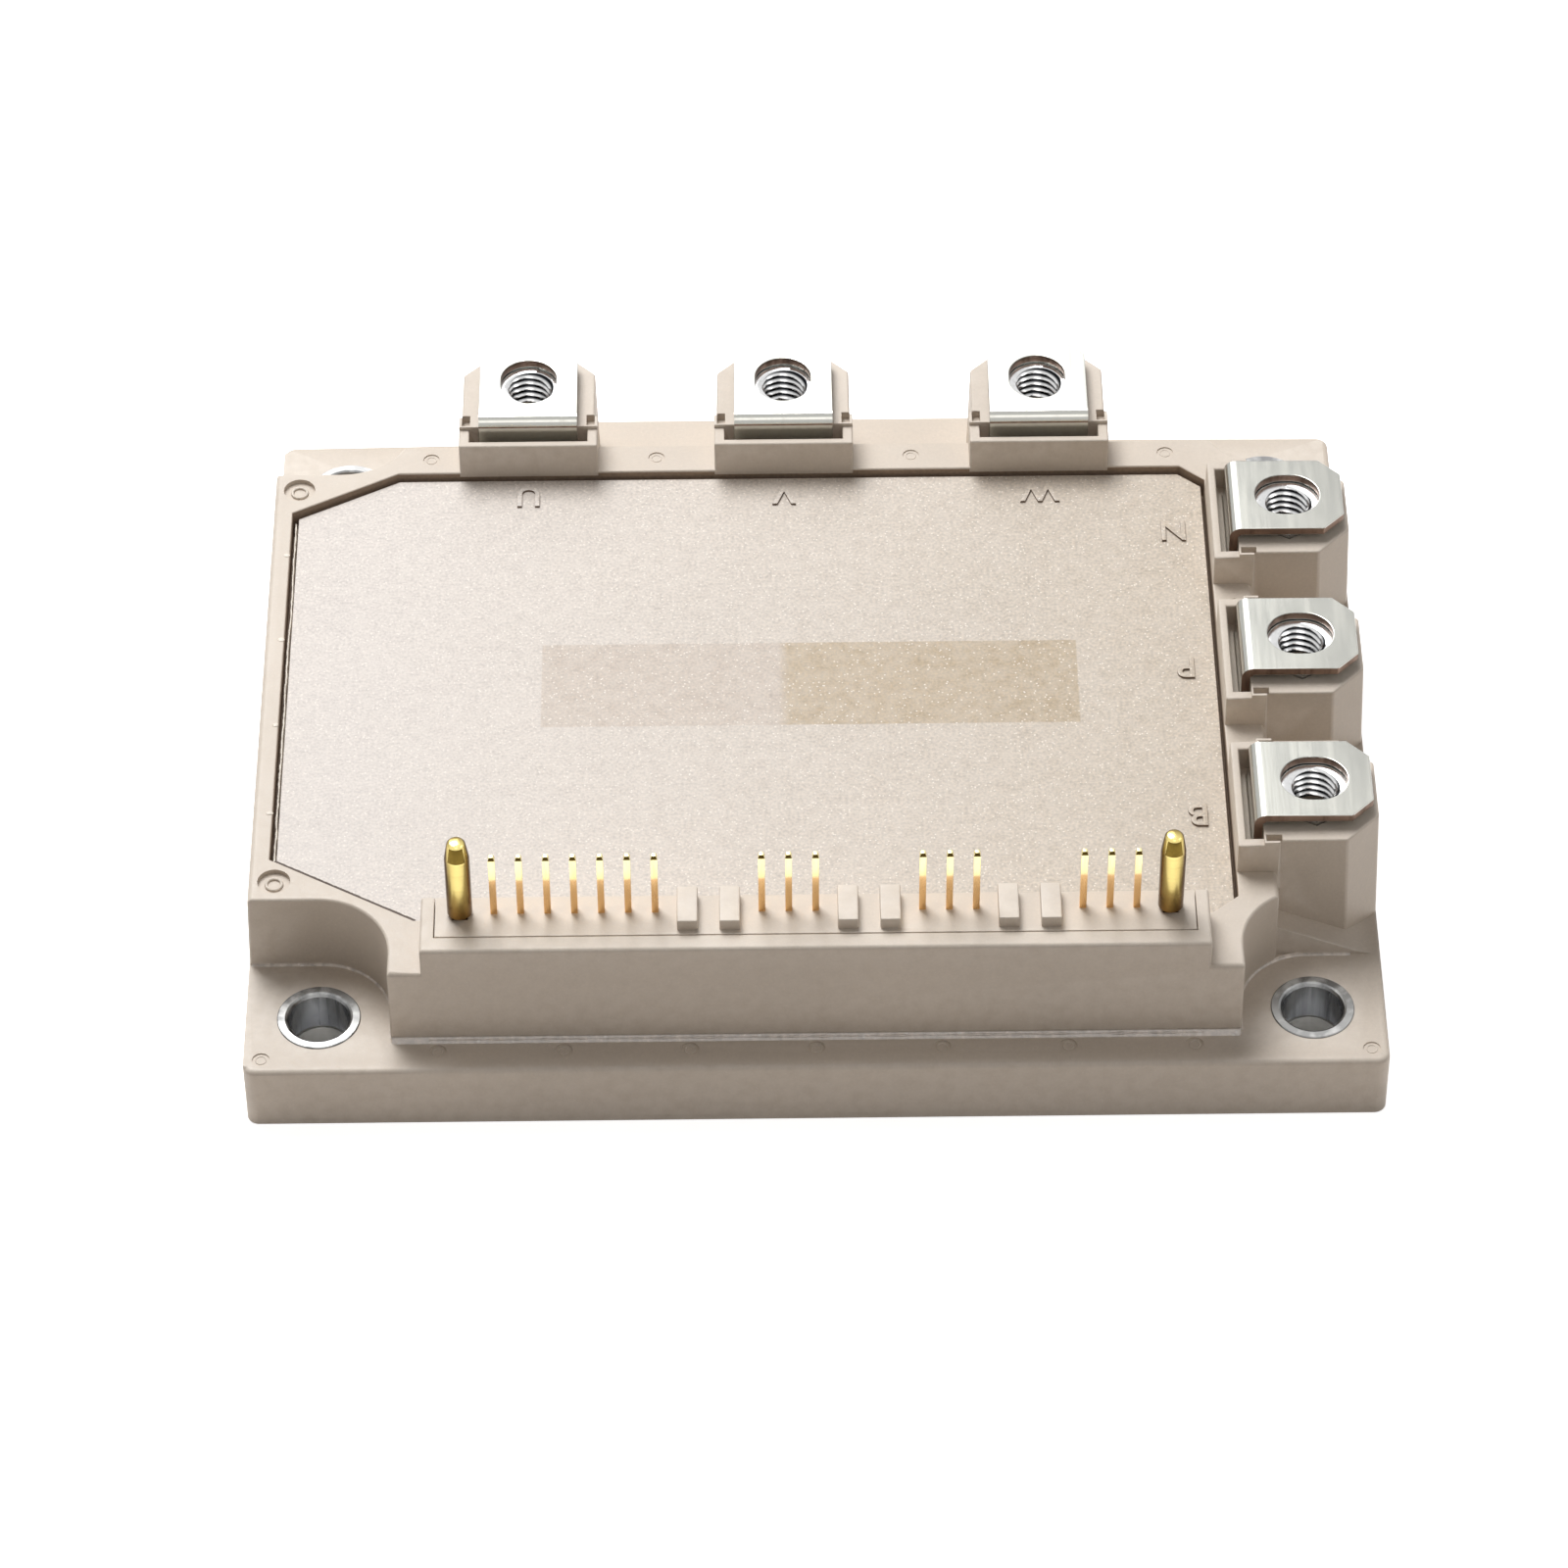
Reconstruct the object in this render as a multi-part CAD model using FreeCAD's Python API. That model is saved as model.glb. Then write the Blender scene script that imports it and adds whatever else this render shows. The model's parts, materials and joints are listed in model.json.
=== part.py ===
import FreeCAD
import Part
import math
import os

# Power transistor module: three half bridges and a brake leg in one moulded case.
# Six screw terminals stand along two sides, sixteen control pins along the front,
# and a metal base plate underneath carries the heat to a cooler.
# Axes: X right and Y back as seen from the control pins, Z up from the cooler face.
# All sizes are in millimetres.

# Footprint and mounting holes
CASE_LENGTH = 109.0
CASE_WIDTH = 88.0
CASE_CORNER_RADIUS = 1.2
HOLE_EDGE = 7.0
HOLE_DIAMETER = 5.5
SCREW_HEAD_RADIUS = 7.0

# Base plate and the sleeves that take the screw load
BASE_THICKNESS = 3.0
BASE_STANDOFF = 0.1
BASE_MARGIN = 2.2
BASE_CLEARANCE = 0.1
BASE_CORNER_CUT = 1.5
SLEEVE_OUTER = 8.0
SLEEVE_BORE = 5.8
SLEEVE_PROUD = 0.15

# Case heights and walls
FLANGE_TOP = 7.35
BODY_TOP = 16.4
BODY_DRAFT = 0.12
LEFT_DRAFT = 0.35
FRONT_LEDGE = 4.0
FOOT_CHAMFER = 0.5
MERGE = 1.0

# Lid and the opening it drops into
LID_DROP = 0.8
LID_THICKNESS = 1.6
LID_GAP = 0.35
LID_SEAT = 1.5
LEFT_RIM = 2.23
LEFT_LID_GAP = 0.59
REAR_LEFT_CUT = (10.6, 5.7)
FRONT_LEFT_CUT = (14.0, 8.2)
REAR_RIGHT_CUT = (2.5, 2.1)
FRONT_RIGHT_CUT = (2.5, 2.1)

# Terminal posts, measured from the centre of each screw hole
TERMINAL_EDGE = 6.5
REAR_PITCH = 26.0
REAR_CENTRE = -2.4
SIDE_PITCH = 20.0
SIDE_CENTRE = -0.6
POST_WIDTH = 13.8
POST_TOP = 20.4
POST_CORNER = 3.2
POST_SIDE_DRAFT = 0.3
POST_FACE_DRAFT = 0.45
THROAT_WIDTH = 14.1
THROAT_TOP = 20.0
THROAT_REACH = 7.6
WALL_REACH = 3.6
SLOT_WIDTH = 12.0
SLOT_FRONT = 6.8
SLOT_DEPTH = 2.6
POCKET_REACH = 4.9
POCKET_WALL = 0.3
POCKET_WIDTH = 0.8
POCKET_LENGTH = 1.5
POCKET_DEPTH = 0.8

# Floors between and beside the posts
WEB_TOP = 10.5
RAMP_TOP = 11.1
RAMP_KNEE_SETBACK = 2.2
RAMP_KNEE_RISE = 0.45
RAMP_TOE_SETBACK = 0.5

# Screw terminals of bent plate
TERMINAL_TOP = 22.0
TAB_WIDTH = 10.0
TAB_THICKNESS = 0.9
TAB_END = 5.5
TAB_CORNER = 2.1
TAB_SLOT_WIDTH = 5.7
TAB_SLOT_LENGTH = 6.5
BEND_RADIUS = 0.25
LEG_REACH = 6.0
PAD_SETBACK = 0.3

# Terminal nuts
NUT_ACROSS_FLATS = 8.0
NUT_HEIGHT = 4.0
NUT_BORE = 5.0
NUT_PROUD = 0.6
NUT_CLEARANCE = 0.1
SCREW_WELL_DEPTH = 6.0
SCREW_WELL_WIDTH = 5.6

# Control connector
CONNECTOR_MARGIN = 3.74
CONNECTOR_DEPTH = 7.1
CONNECTOR_TOP = 19.5
CONNECTOR_SETBACK = 0.12
CONNECTOR_FRONT_WALL = 1.85
CONNECTOR_END_WALL = 1.3
HOLDER_GAP = 0.08
HOLDER_SEAT = 1.1
HOLDER_FOOT_THICKNESS = 1.5
KEY_WIDTH = 1.95
KEY_HEIGHT = 1.3
KEY_PITCH = 4.0
KEY_FRONT_SETBACK = 0.5
PIN_PITCH = 2.54
PIN_SIZE = 0.64
PIN_TIP = 0.9
PIN_HEIGHT = 7.55
PIN_TAIL = 1.0
PIN_COUNTS = (7, 3, 3, 3)
GROUP_GAP = 10.08
PIN_ROW_SETBACK = 9.25
GUIDE_GAP = 3.2
GUIDE_FORWARD = 0.25
GUIDE_DIAMETER = 2.4
GUIDE_HEIGHT = 9.8
GUIDE_TAPER = 1.95
GUIDE_TIP_DIAMETER = 1.5
GUIDE_SHANK = 1.5
GUIDE_NECK = 0.3
GUIDE_ROOT = 5.0

# Steps inside the case, counted up from the base plate
PAD_LEDGE_HEIGHT = 3.4
PAD_LEDGE_WIDTH = 3.9
BOARD_LEDGE_HEIGHT = 3.0
BOARD_SEAT = 1.5
INNER_FRONT_WALL = 1.9
FRONT_BAY_END_WALL = 2.4

# Control board
BOARD_THICKNESS = 1.6
BOARD_GAP = 0.3
DRIVER_SIZE = (13.0, 7.6, 2.0)
DRIVER_ROW_SETBACK = 22.0
BUFFER_SIZE = (5.0, 6.4, 2.2)
BUFFER_ROW_OFFSET = 13.0

# Insulated tiles and chips
COPPER_THICKNESS = 0.3
CERAMIC_THICKNESS = 0.65
TILE_GAP = 1.0
TILE_FRONT_GAP = 9.4
TILE_REAR_GAP = 5.4
BRAKE_TILE_WIDTH = 11.0
TILE_MARGIN = 0.8
ISLAND_GAP = 0.8
NEGATIVE_BAND = 3.6
OUTPUT_STRIP = 3.4
SIGNAL_PAD = 1.6
SIGNAL_PITCH = 3.2
SIGNAL_OFFSET = 0.4
TILE_SPLIT = 1.6
CHIP_THICKNESS = 0.4
SWITCH_CHIP = 7.6
DIODE_LENGTH = 4.6
CHIP_GAP = 0.8
WIRE_LANDING = 1.6
BRAKE_CHIP = 5.6
BRAKE_CHIP_EDGE = 0.3
BRAKE_STRIP = 1.4
RELAY_PIN_SIZE = 0.6

# Bond wires and gel
WIRE_SIZE = 0.4
WIRE_FOOT = 0.9
WIRE_RISE = 0.55
WIRE_SPACING = 2.2
WIRE_PAIR = 0.7
GEL_DEPTH = 5.3

# Round marks that the ejector pins leave in the moulding
EJECTOR_LARGE = 3.2
EJECTOR_LARGE_DEPTH = 0.5
EJECTOR_LARGE_SIDES = 20
EJECTOR_SMALL = 1.7
EJECTOR_SMALL_DEPTH = 0.12
EJECTOR_SMALL_SIDES = 12
EJECTOR_EDGE = 0.85
LEDGE_MARK_SETBACK = 2.5
LEDGE_MARK_SPACING = 12.0
LEDGE_MARKS_EACH_SIDE = 3
REAR_MARK_END = 36.0

# Levels that follow from the sizes above
LEFT = -CASE_LENGTH / 2
RIGHT = CASE_LENGTH / 2
FRONT = -CASE_WIDTH / 2
REAR = CASE_WIDTH / 2
HOLE_PITCH_LENGTH = CASE_LENGTH - 2 * HOLE_EDGE
HOLE_PITCH_WIDTH = CASE_WIDTH - 2 * HOLE_EDGE
LID_TOP = BODY_TOP - LID_DROP
LID_BOTTOM = LID_TOP - LID_THICKNESS
HOLDER_BOTTOM = LID_BOTTOM - HOLDER_FOOT_THICKNESS
PAD_LEDGE = BASE_THICKNESS + PAD_LEDGE_HEIGHT
BOARD_LEDGE = PAD_LEDGE + BOARD_LEDGE_HEIGHT
BOARD_TOP = BOARD_LEDGE + BOARD_THICKNESS
TAB_BOTTOM = TERMINAL_TOP - TAB_THICKNESS
NUT_TOP = POST_TOP + NUT_PROUD
NUT_BOTTOM = NUT_TOP - NUT_HEIGHT
TILE_TOP = BASE_THICKNESS + 2 * COPPER_THICKNESS + CERAMIC_THICKNESS
CHIP_TOP = TILE_TOP + CHIP_THICKNESS

# Places that follow from the sizes above
SIDE_X = RIGHT - TERMINAL_EDGE
REAR_Y = REAR - TERMINAL_EDGE
BODY_RIGHT = SIDE_X - WALL_REACH
BODY_REAR = REAR_Y - WALL_REACH
BODY_FRONT = FRONT + FRONT_LEDGE
OPENING_LEFT = LEFT + LEFT_RIM
OPENING_RIGHT = SIDE_X - THROAT_REACH
OPENING_REAR = REAR_Y - THROAT_REACH
CONNECTOR_FRONT = BODY_FRONT + CONNECTOR_SETBACK
CONNECTOR_REAR = CONNECTOR_FRONT + CONNECTOR_DEPTH
PIN_ROW = FRONT + PIN_ROW_SETBACK
PIN_ROW_LENGTH = (PIN_PITCH * sum(count - 1 for count in PIN_COUNTS)
                  + GROUP_GAP * (len(PIN_COUNTS) - 1))
CONNECTOR_LENGTH = PIN_ROW_LENGTH + 2 * (GUIDE_GAP + CONNECTOR_MARGIN)
HOLDER_FRONT = CONNECTOR_FRONT + CONNECTOR_FRONT_WALL
HOLDER_END = CONNECTOR_LENGTH / 2 - CONNECTOR_END_WALL
BAY_FRONT = BODY_FRONT + INNER_FRONT_WALL + HOLDER_SEAT
BAY_END = HOLDER_END - HOLDER_SEAT

STATIONS = {
    "u": (REAR_CENTRE - REAR_PITCH, REAR_Y, 0.0),
    "v": (REAR_CENTRE, REAR_Y, 0.0),
    "w": (REAR_CENTRE + REAR_PITCH, REAR_Y, 0.0),
    "n": (SIDE_X, SIDE_CENTRE + SIDE_PITCH, -90.0),
    "p": (SIDE_X, SIDE_CENTRE, -90.0),
    "b": (SIDE_X, SIDE_CENTRE - SIDE_PITCH, -90.0),
}


def point(x, y, z=0.0):
    return FreeCAD.Vector(x, y, z)


def block(x_low, x_high, y_low, y_high, z_low, z_high):
    size = (x_high - x_low, y_high - y_low, z_high - z_low)
    return Part.makeBox(*size, point(x_low, y_low, z_low))


def prism(corners, z_low, z_high):
    """Straight extrusion of a closed outline given by its corners."""
    loop = [point(x, y, z_low) for x, y in corners]
    face = Part.Face(Part.makePolygon(loop + [loop[0]]))
    return face.extrude(point(0, 0, z_high - z_low))


def frustum(low, high, z_low, z_high):
    """Solid with flat sides between two outlines that have equally many corners."""
    below = [point(x, y, z_low) for x, y in low]
    above = [point(x, y, z_high) for x, y in high]
    rings = [below, above]
    for k in range(len(below)):
        rings.append([below[k - 1], below[k], above[k], above[k - 1]])
    faces = [Part.Face(Part.makePolygon(ring + [ring[0]])) for ring in rings]
    solid = Part.makeSolid(Part.makeShell(faces))
    return solid if solid.Volume > 0 else solid.reversed()


def rectangle(x_low, x_high, y_low, y_high):
    return [(x_low, y_low), (x_high, y_low), (x_high, y_high), (x_low, y_high)]


def disc(x, y, z_low, z_high, diameter):
    return Part.makeCylinder(diameter / 2, z_high - z_low, point(x, y, z_low))


def regular_prism(sides, across_corners, z_low, z_high):
    """Upright prism with equal sides and one corner on the X axis."""
    step = 2 * math.pi / sides
    reach = across_corners / 2
    corners = [(reach * math.cos(k * step), reach * math.sin(k * step)) for k in range(sides)]
    return prism(corners, z_low, z_high)


def hexagon(across_flats, z_low, z_high):
    return regular_prism(6, across_flats / math.cos(math.pi / 6), z_low, z_high)


def fuse(solids):
    """One clean solid from overlapping or touching ones."""
    first, rest = solids[0], solids[1:]
    whole = first.fuse(rest) if rest else first
    return whole.removeSplitter()


def upright_edges(shape):
    return [e for e in shape.Edges if abs(e.tangentAt(e.FirstParameter).z) > 0.99]


def round_upright(shape, radius):
    """Rounds the four upright edges of a plain block."""
    return shape.makeFillet(radius, upright_edges(shape))


def at_station(shape, name):
    """Moves a shape from a terminal's own frame, Y outwards, to its place on the case."""
    x, y, angle = STATIONS[name]
    turn = FreeCAD.Rotation(point(0, 0, 1), angle)
    shape = shape.copy()
    shape.Placement = FreeCAD.Placement(point(x, y), turn).multiply(shape.Placement)
    return shape


def hole_centres():
    """Mounting holes, named by their corner."""
    return {
        f"{side}_{end}": (sx * HOLE_PITCH_LENGTH / 2, sy * HOLE_PITCH_WIDTH / 2)
        for side, sy in (("front", -1), ("rear", 1))
        for end, sx in (("left", -1), ("right", 1))
    }


def opening_outline(inset):
    """Eight-cornered outline of the lid opening, drawn in by an even margin."""
    left, right = OPENING_LEFT + inset, OPENING_RIGHT - inset
    front, rear = CONNECTOR_REAR + inset, OPENING_REAR - inset
    corners = []
    for cut, sx, sy in (
        (FRONT_LEFT_CUT, -1, -1),
        (FRONT_RIGHT_CUT, 1, -1),
        (REAR_RIGHT_CUT, 1, 1),
        (REAR_LEFT_CUT, -1, 1),
    ):
        run, rise = cut
        slope = math.hypot(run, rise)
        edge_x = left if sx < 0 else right
        edge_y = front if sy < 0 else rear
        side_cut = rise - inset * (run + rise - slope) / run
        end_cut = run - inset * (run + rise - slope) / rise
        on_side = (edge_x, edge_y - sy * side_cut)
        on_end = (edge_x - sx * end_cut, edge_y)
        pair = [on_side, on_end] if sx * sy > 0 else [on_end, on_side]
        corners += pair
    return corners


# Case

def tapered_body():
    """Main block of the case, narrower at the top so that it leaves its mould."""
    low = rectangle(LEFT, BODY_RIGHT, BODY_FRONT, BODY_REAR)
    high = rectangle(LEFT + LEFT_DRAFT, BODY_RIGHT - BODY_DRAFT,
                     BODY_FRONT + BODY_DRAFT, BODY_REAR - BODY_DRAFT)
    return frustum(low, high, FLANGE_TOP - MERGE, BODY_TOP)


def screw_head_relief(x, y):
    """Space for a screw head and its driver over one mounting hole."""
    out_x, out_y = math.copysign(CASE_LENGTH, x), math.copysign(CASE_WIDTH, y)
    reach_x = x - math.copysign(SCREW_HEAD_RADIUS, x)
    reach_y = y - math.copysign(SCREW_HEAD_RADIUS, y)
    z_low, z_high = FLANGE_TOP, CONNECTOR_TOP + MERGE
    slabs = [
        block(*sorted((x, out_x)), *sorted((reach_y, out_y)), z_low, z_high),
        block(*sorted((reach_x, out_x)), *sorted((y, out_y)), z_low, z_high),
        disc(x, y, z_low, z_high, 2 * SCREW_HEAD_RADIUS),
    ]
    return fuse(slabs)


def ramp(length):
    """Sloping foot along a wall that carries posts; X outwards, Y along the wall."""
    reach = TERMINAL_EDGE + WALL_REACH
    low = FLANGE_TOP - MERGE
    profile = [
        point(-MERGE, 0, low),
        point(-MERGE, 0, RAMP_TOP),
        point(0, 0, RAMP_TOP),
        point(reach - RAMP_KNEE_SETBACK, 0, FLANGE_TOP + RAMP_KNEE_RISE),
        point(reach - RAMP_TOE_SETBACK, 0, FLANGE_TOP),
        point(reach, 0, FLANGE_TOP),
        point(reach, 0, low),
    ]
    return Part.Face(Part.makePolygon(profile + [profile[0]])).extrude(point(0, length, 0))


def post_webs():
    """Ramps and level floors that join the posts to the flange."""
    half_x = HOLE_PITCH_LENGTH / 2 - SCREW_HEAD_RADIUS
    half_y = HOLE_PITCH_WIDTH / 2 - SCREW_HEAD_RADIUS
    side = ramp(2 * half_y)
    side.translate(point(BODY_RIGHT, -half_y, 0))
    rear = ramp(2 * half_x)
    rear.rotate(point(0, 0, 0), point(0, 0, 1), 90)
    rear.translate(point(half_x, BODY_REAR, 0))
    low = FLANGE_TOP - MERGE
    side_floor = block(
        BODY_RIGHT - MERGE, RIGHT,
        SIDE_CENTRE - SIDE_PITCH, SIDE_CENTRE + SIDE_PITCH, low, WEB_TOP,
    )
    rear_floor = block(
        REAR_CENTRE - REAR_PITCH, REAR_CENTRE + REAR_PITCH,
        BODY_REAR - MERGE, REAR, low, WEB_TOP,
    )
    return [side, rear, side_floor, rear_floor]


def post():
    """Nut block with cut corners, and the throat that the terminal rises through."""
    def outline(half, face):
        return [
            (-half, -WALL_REACH),
            (half, -WALL_REACH),
            (half, face - POST_CORNER),
            (half - POST_CORNER, face),
            (-half + POST_CORNER, face),
            (-half, face - POST_CORNER),
        ]

    foot = outline((POST_WIDTH + POST_SIDE_DRAFT) / 2, TERMINAL_EDGE)
    head = outline((POST_WIDTH - POST_SIDE_DRAFT) / 2, TERMINAL_EDGE - POST_FACE_DRAFT)
    side = THROAT_WIDTH / 2
    throat = block(-side, side, -THROAT_REACH, -WALL_REACH, LID_BOTTOM, THROAT_TOP)
    shoulder = rectangle(-side, side, -LEG_REACH + TAB_THICKNESS, -WALL_REACH)
    pockets = [
        block(*sorted((s * (side - POCKET_WALL), s * (side - POCKET_WALL - POCKET_WIDTH))),
              -POCKET_REACH, -POCKET_REACH + POCKET_LENGTH,
              POST_TOP - POCKET_DEPTH, POST_TOP)
        for s in (-1, 1)
    ]
    solids = [
        prism(foot, FLANGE_TOP - MERGE, FLANGE_TOP),
        frustum(foot, head, FLANGE_TOP, POST_TOP),
        prism(shoulder, LID_BOTTOM, POST_TOP),
        throat,
    ]
    return [solid.cut(pockets) for solid in solids]


def nut_pocket():
    """Hexagonal seat for the nut, with a well below it for the screw's end."""
    seat = hexagon(NUT_ACROSS_FLATS + 2 * NUT_CLEARANCE, NUT_BOTTOM, POST_TOP + MERGE)
    half = SCREW_WELL_WIDTH / 2
    well = block(-half, half, -half, half, NUT_BOTTOM - SCREW_WELL_DEPTH, NUT_BOTTOM + MERGE)
    return seat.fuse(well)


def terminal_slot():
    """Clear slot round the foot of the tab's bend."""
    half = SLOT_WIDTH / 2
    rear = -LEG_REACH + TAB_THICKNESS
    return block(-half, half, -SLOT_FRONT, rear, THROAT_TOP - SLOT_DEPTH, POST_TOP + MERGE)


def connector_block():
    """Raised block round the control pins, flush with the wall below it."""
    half = CONNECTOR_LENGTH / 2
    return block(-half, half, CONNECTOR_FRONT, CONNECTOR_REAR, LID_BOTTOM, CONNECTOR_TOP)


def front_foot():
    """Small sloped foot where the front wall meets the flange."""
    half = HOLE_PITCH_LENGTH / 2 - SCREW_HEAD_RADIUS
    profile = Part.makePolygon([
        point(-half, BODY_FRONT + MERGE, FLANGE_TOP - MERGE),
        point(-half, BODY_FRONT - FOOT_CHAMFER, FLANGE_TOP - MERGE),
        point(-half, BODY_FRONT - FOOT_CHAMFER, FLANGE_TOP),
        point(-half, BODY_FRONT, FLANGE_TOP + FOOT_CHAMFER),
        point(-half, BODY_FRONT + MERGE, FLANGE_TOP + FOOT_CHAMFER),
        point(-half, BODY_FRONT + MERGE, FLANGE_TOP - MERGE),
    ])
    return Part.Face(profile).extrude(point(2 * half, 0, 0))


def front_bay(z_low, z_high, inset):
    """Space under the connector, open to the main cavity behind it."""
    end = BAY_END - inset
    rear = CONNECTOR_REAR + LID_SEAT + BOARD_SEAT + MERGE
    return block(-end, end, BAY_FRONT + inset, rear, z_low, z_high)


def cavity():
    """Stepped inside of the case: pad level, board level and lid level."""
    board_inset = LID_SEAT
    wire_inset = board_inset + BOARD_SEAT
    chip_right = OPENING_RIGHT - wire_inset - PAD_LEDGE_WIDTH
    chip_rear = OPENING_REAR - wire_inset - PAD_LEDGE_WIDTH
    wire_level = prism(opening_outline(wire_inset), PAD_LEDGE, BOARD_LEDGE)
    chip_level = prism(opening_outline(wire_inset), BASE_THICKNESS - MERGE, PAD_LEDGE)
    keep = block(LEFT, chip_right, FRONT, chip_rear, 0, PAD_LEDGE)
    levels = [
        chip_level.common(keep),
        wire_level,
        front_bay(PAD_LEDGE, BOARD_LEDGE, BOARD_SEAT),
        prism(opening_outline(board_inset), BOARD_LEDGE, LID_BOTTOM),
        front_bay(BOARD_LEDGE, LID_BOTTOM, 0.0),
        prism(opening_outline(0.0), LID_BOTTOM, BODY_TOP + MERGE),
    ]
    return levels


def holder_notch():
    """Three-sided recess that takes the pin holder."""
    return block(-HOLDER_END, HOLDER_END, HOLDER_FRONT, CONNECTOR_REAR + MERGE,
                 HOLDER_BOTTOM, CONNECTOR_TOP + MERGE)


def base_recess():
    """Recess in the underside that the base plate is bonded into, with cut corners."""
    margin = BASE_MARGIN - BASE_CLEARANCE
    plate = block(LEFT + margin, RIGHT - margin, FRONT + margin, REAR - margin,
                  0, BASE_THICKNESS)
    cut = BASE_CORNER_CUT + BASE_CLEARANCE * (2 - math.sqrt(2))
    return plate.makeChamfer(cut, upright_edges(plate))


def ejector_mark(x, y, top, depth, diameter, sides):
    mark = regular_prism(sides, diameter, top - depth, top + MERGE)
    mark.translate(point(x, y, 0))
    return mark


def ejector_marks():
    """Round marks on the rim and the flange."""
    reach = EJECTOR_LARGE / 2
    rim_x = LEFT + LEFT_DRAFT + EJECTOR_EDGE + reach
    rim_y = HOLE_PITCH_WIDTH / 2 - SCREW_HEAD_RADIUS - reach - EJECTOR_EDGE
    marks = [
        ejector_mark(rim_x, s * rim_y, BODY_TOP, EJECTOR_LARGE_DEPTH, EJECTOR_LARGE,
                     EJECTOR_LARGE_SIDES)
        for s in (-1, 1)
    ]
    ledge_y = FRONT + LEDGE_MARK_SETBACK
    columns = range(-LEDGE_MARKS_EACH_SIDE, LEDGE_MARKS_EACH_SIDE + 1)
    small = [(k * LEDGE_MARK_SPACING, ledge_y, FLANGE_TOP) for k in columns]
    small += [(sx * (RIGHT - EJECTOR_SMALL), FRONT + EJECTOR_SMALL, FLANGE_TOP)
              for sx in (-1, 1)]
    rear_rim = (OPENING_REAR + BODY_REAR) / 2
    small += [(REAR_CENTRE + k * REAR_PITCH / 2, rear_rim, BODY_TOP) for k in (-1, 1, 3)]
    small += [(REAR_CENTRE - REAR_MARK_END, rear_rim, BODY_TOP)]
    side_rim = (OPENING_RIGHT + BODY_RIGHT) / 2
    small += [(side_rim, SIDE_CENTRE + SIDE_PITCH / 2, BODY_TOP)]
    marks += [
        ejector_mark(x, y, z, EJECTOR_SMALL_DEPTH, EJECTOR_SMALL, EJECTOR_SMALL_SIDES)
        for x, y, z in small
    ]
    return marks


def case_frame(terminals):
    flange = block(LEFT, RIGHT, FRONT, REAR, BASE_STANDOFF, FLANGE_TOP)
    flange = round_upright(flange, CASE_CORNER_RADIUS)
    upper = [tapered_body(), connector_block(), front_foot()] + post_webs()
    upper = fuse(upper)
    upper = upper.cut([screw_head_relief(x, y) for x, y in hole_centres().values()])
    posts = [at_station(piece, name) for name in STATIONS for piece in post()]
    solid = fuse([flange, upper] + posts)
    cuts = cavity() + [holder_notch(), base_recess()] + ejector_marks()
    for name in STATIONS:
        cuts.append(at_station(nut_pocket(), name))
        cuts.append(at_station(terminal_slot(), name))
    for x, y in hole_centres().values():
        cuts.append(disc(x, y, 0, FLANGE_TOP + MERGE, SLEEVE_OUTER))
    solid = solid.cut(cuts)
    solid = solid.cut(list(terminals.values()))
    return solid.removeSplitter()


# Lid, base plate and sleeves

def lid():
    """Flat lid, with a wider groove on its left side."""
    plate = prism(opening_outline(LID_GAP), LID_BOTTOM, LID_TOP)
    trim = block(LEFT, OPENING_LEFT + LEFT_LID_GAP, FRONT, REAR, 0, BODY_TOP)
    return plate.cut(trim)


def base_plate():
    plate = block(LEFT + BASE_MARGIN, RIGHT - BASE_MARGIN, FRONT + BASE_MARGIN,
                  REAR - BASE_MARGIN, 0, BASE_THICKNESS)
    plate = plate.makeChamfer(BASE_CORNER_CUT, upright_edges(plate))
    holes = [disc(x, y, -MERGE, BASE_THICKNESS + MERGE, HOLE_DIAMETER)
             for x, y in hole_centres().values()]
    return plate.cut(holes)


def sleeve(x, y):
    """Bush that stands on the base plate, a little proud of the flange."""
    top = FLANGE_TOP + SLEEVE_PROUD
    bore = disc(x, y, 0, top + MERGE, SLEEVE_BORE)
    return disc(x, y, BASE_THICKNESS, top, SLEEVE_OUTER).cut(bore)


# Terminals and nuts

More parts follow.
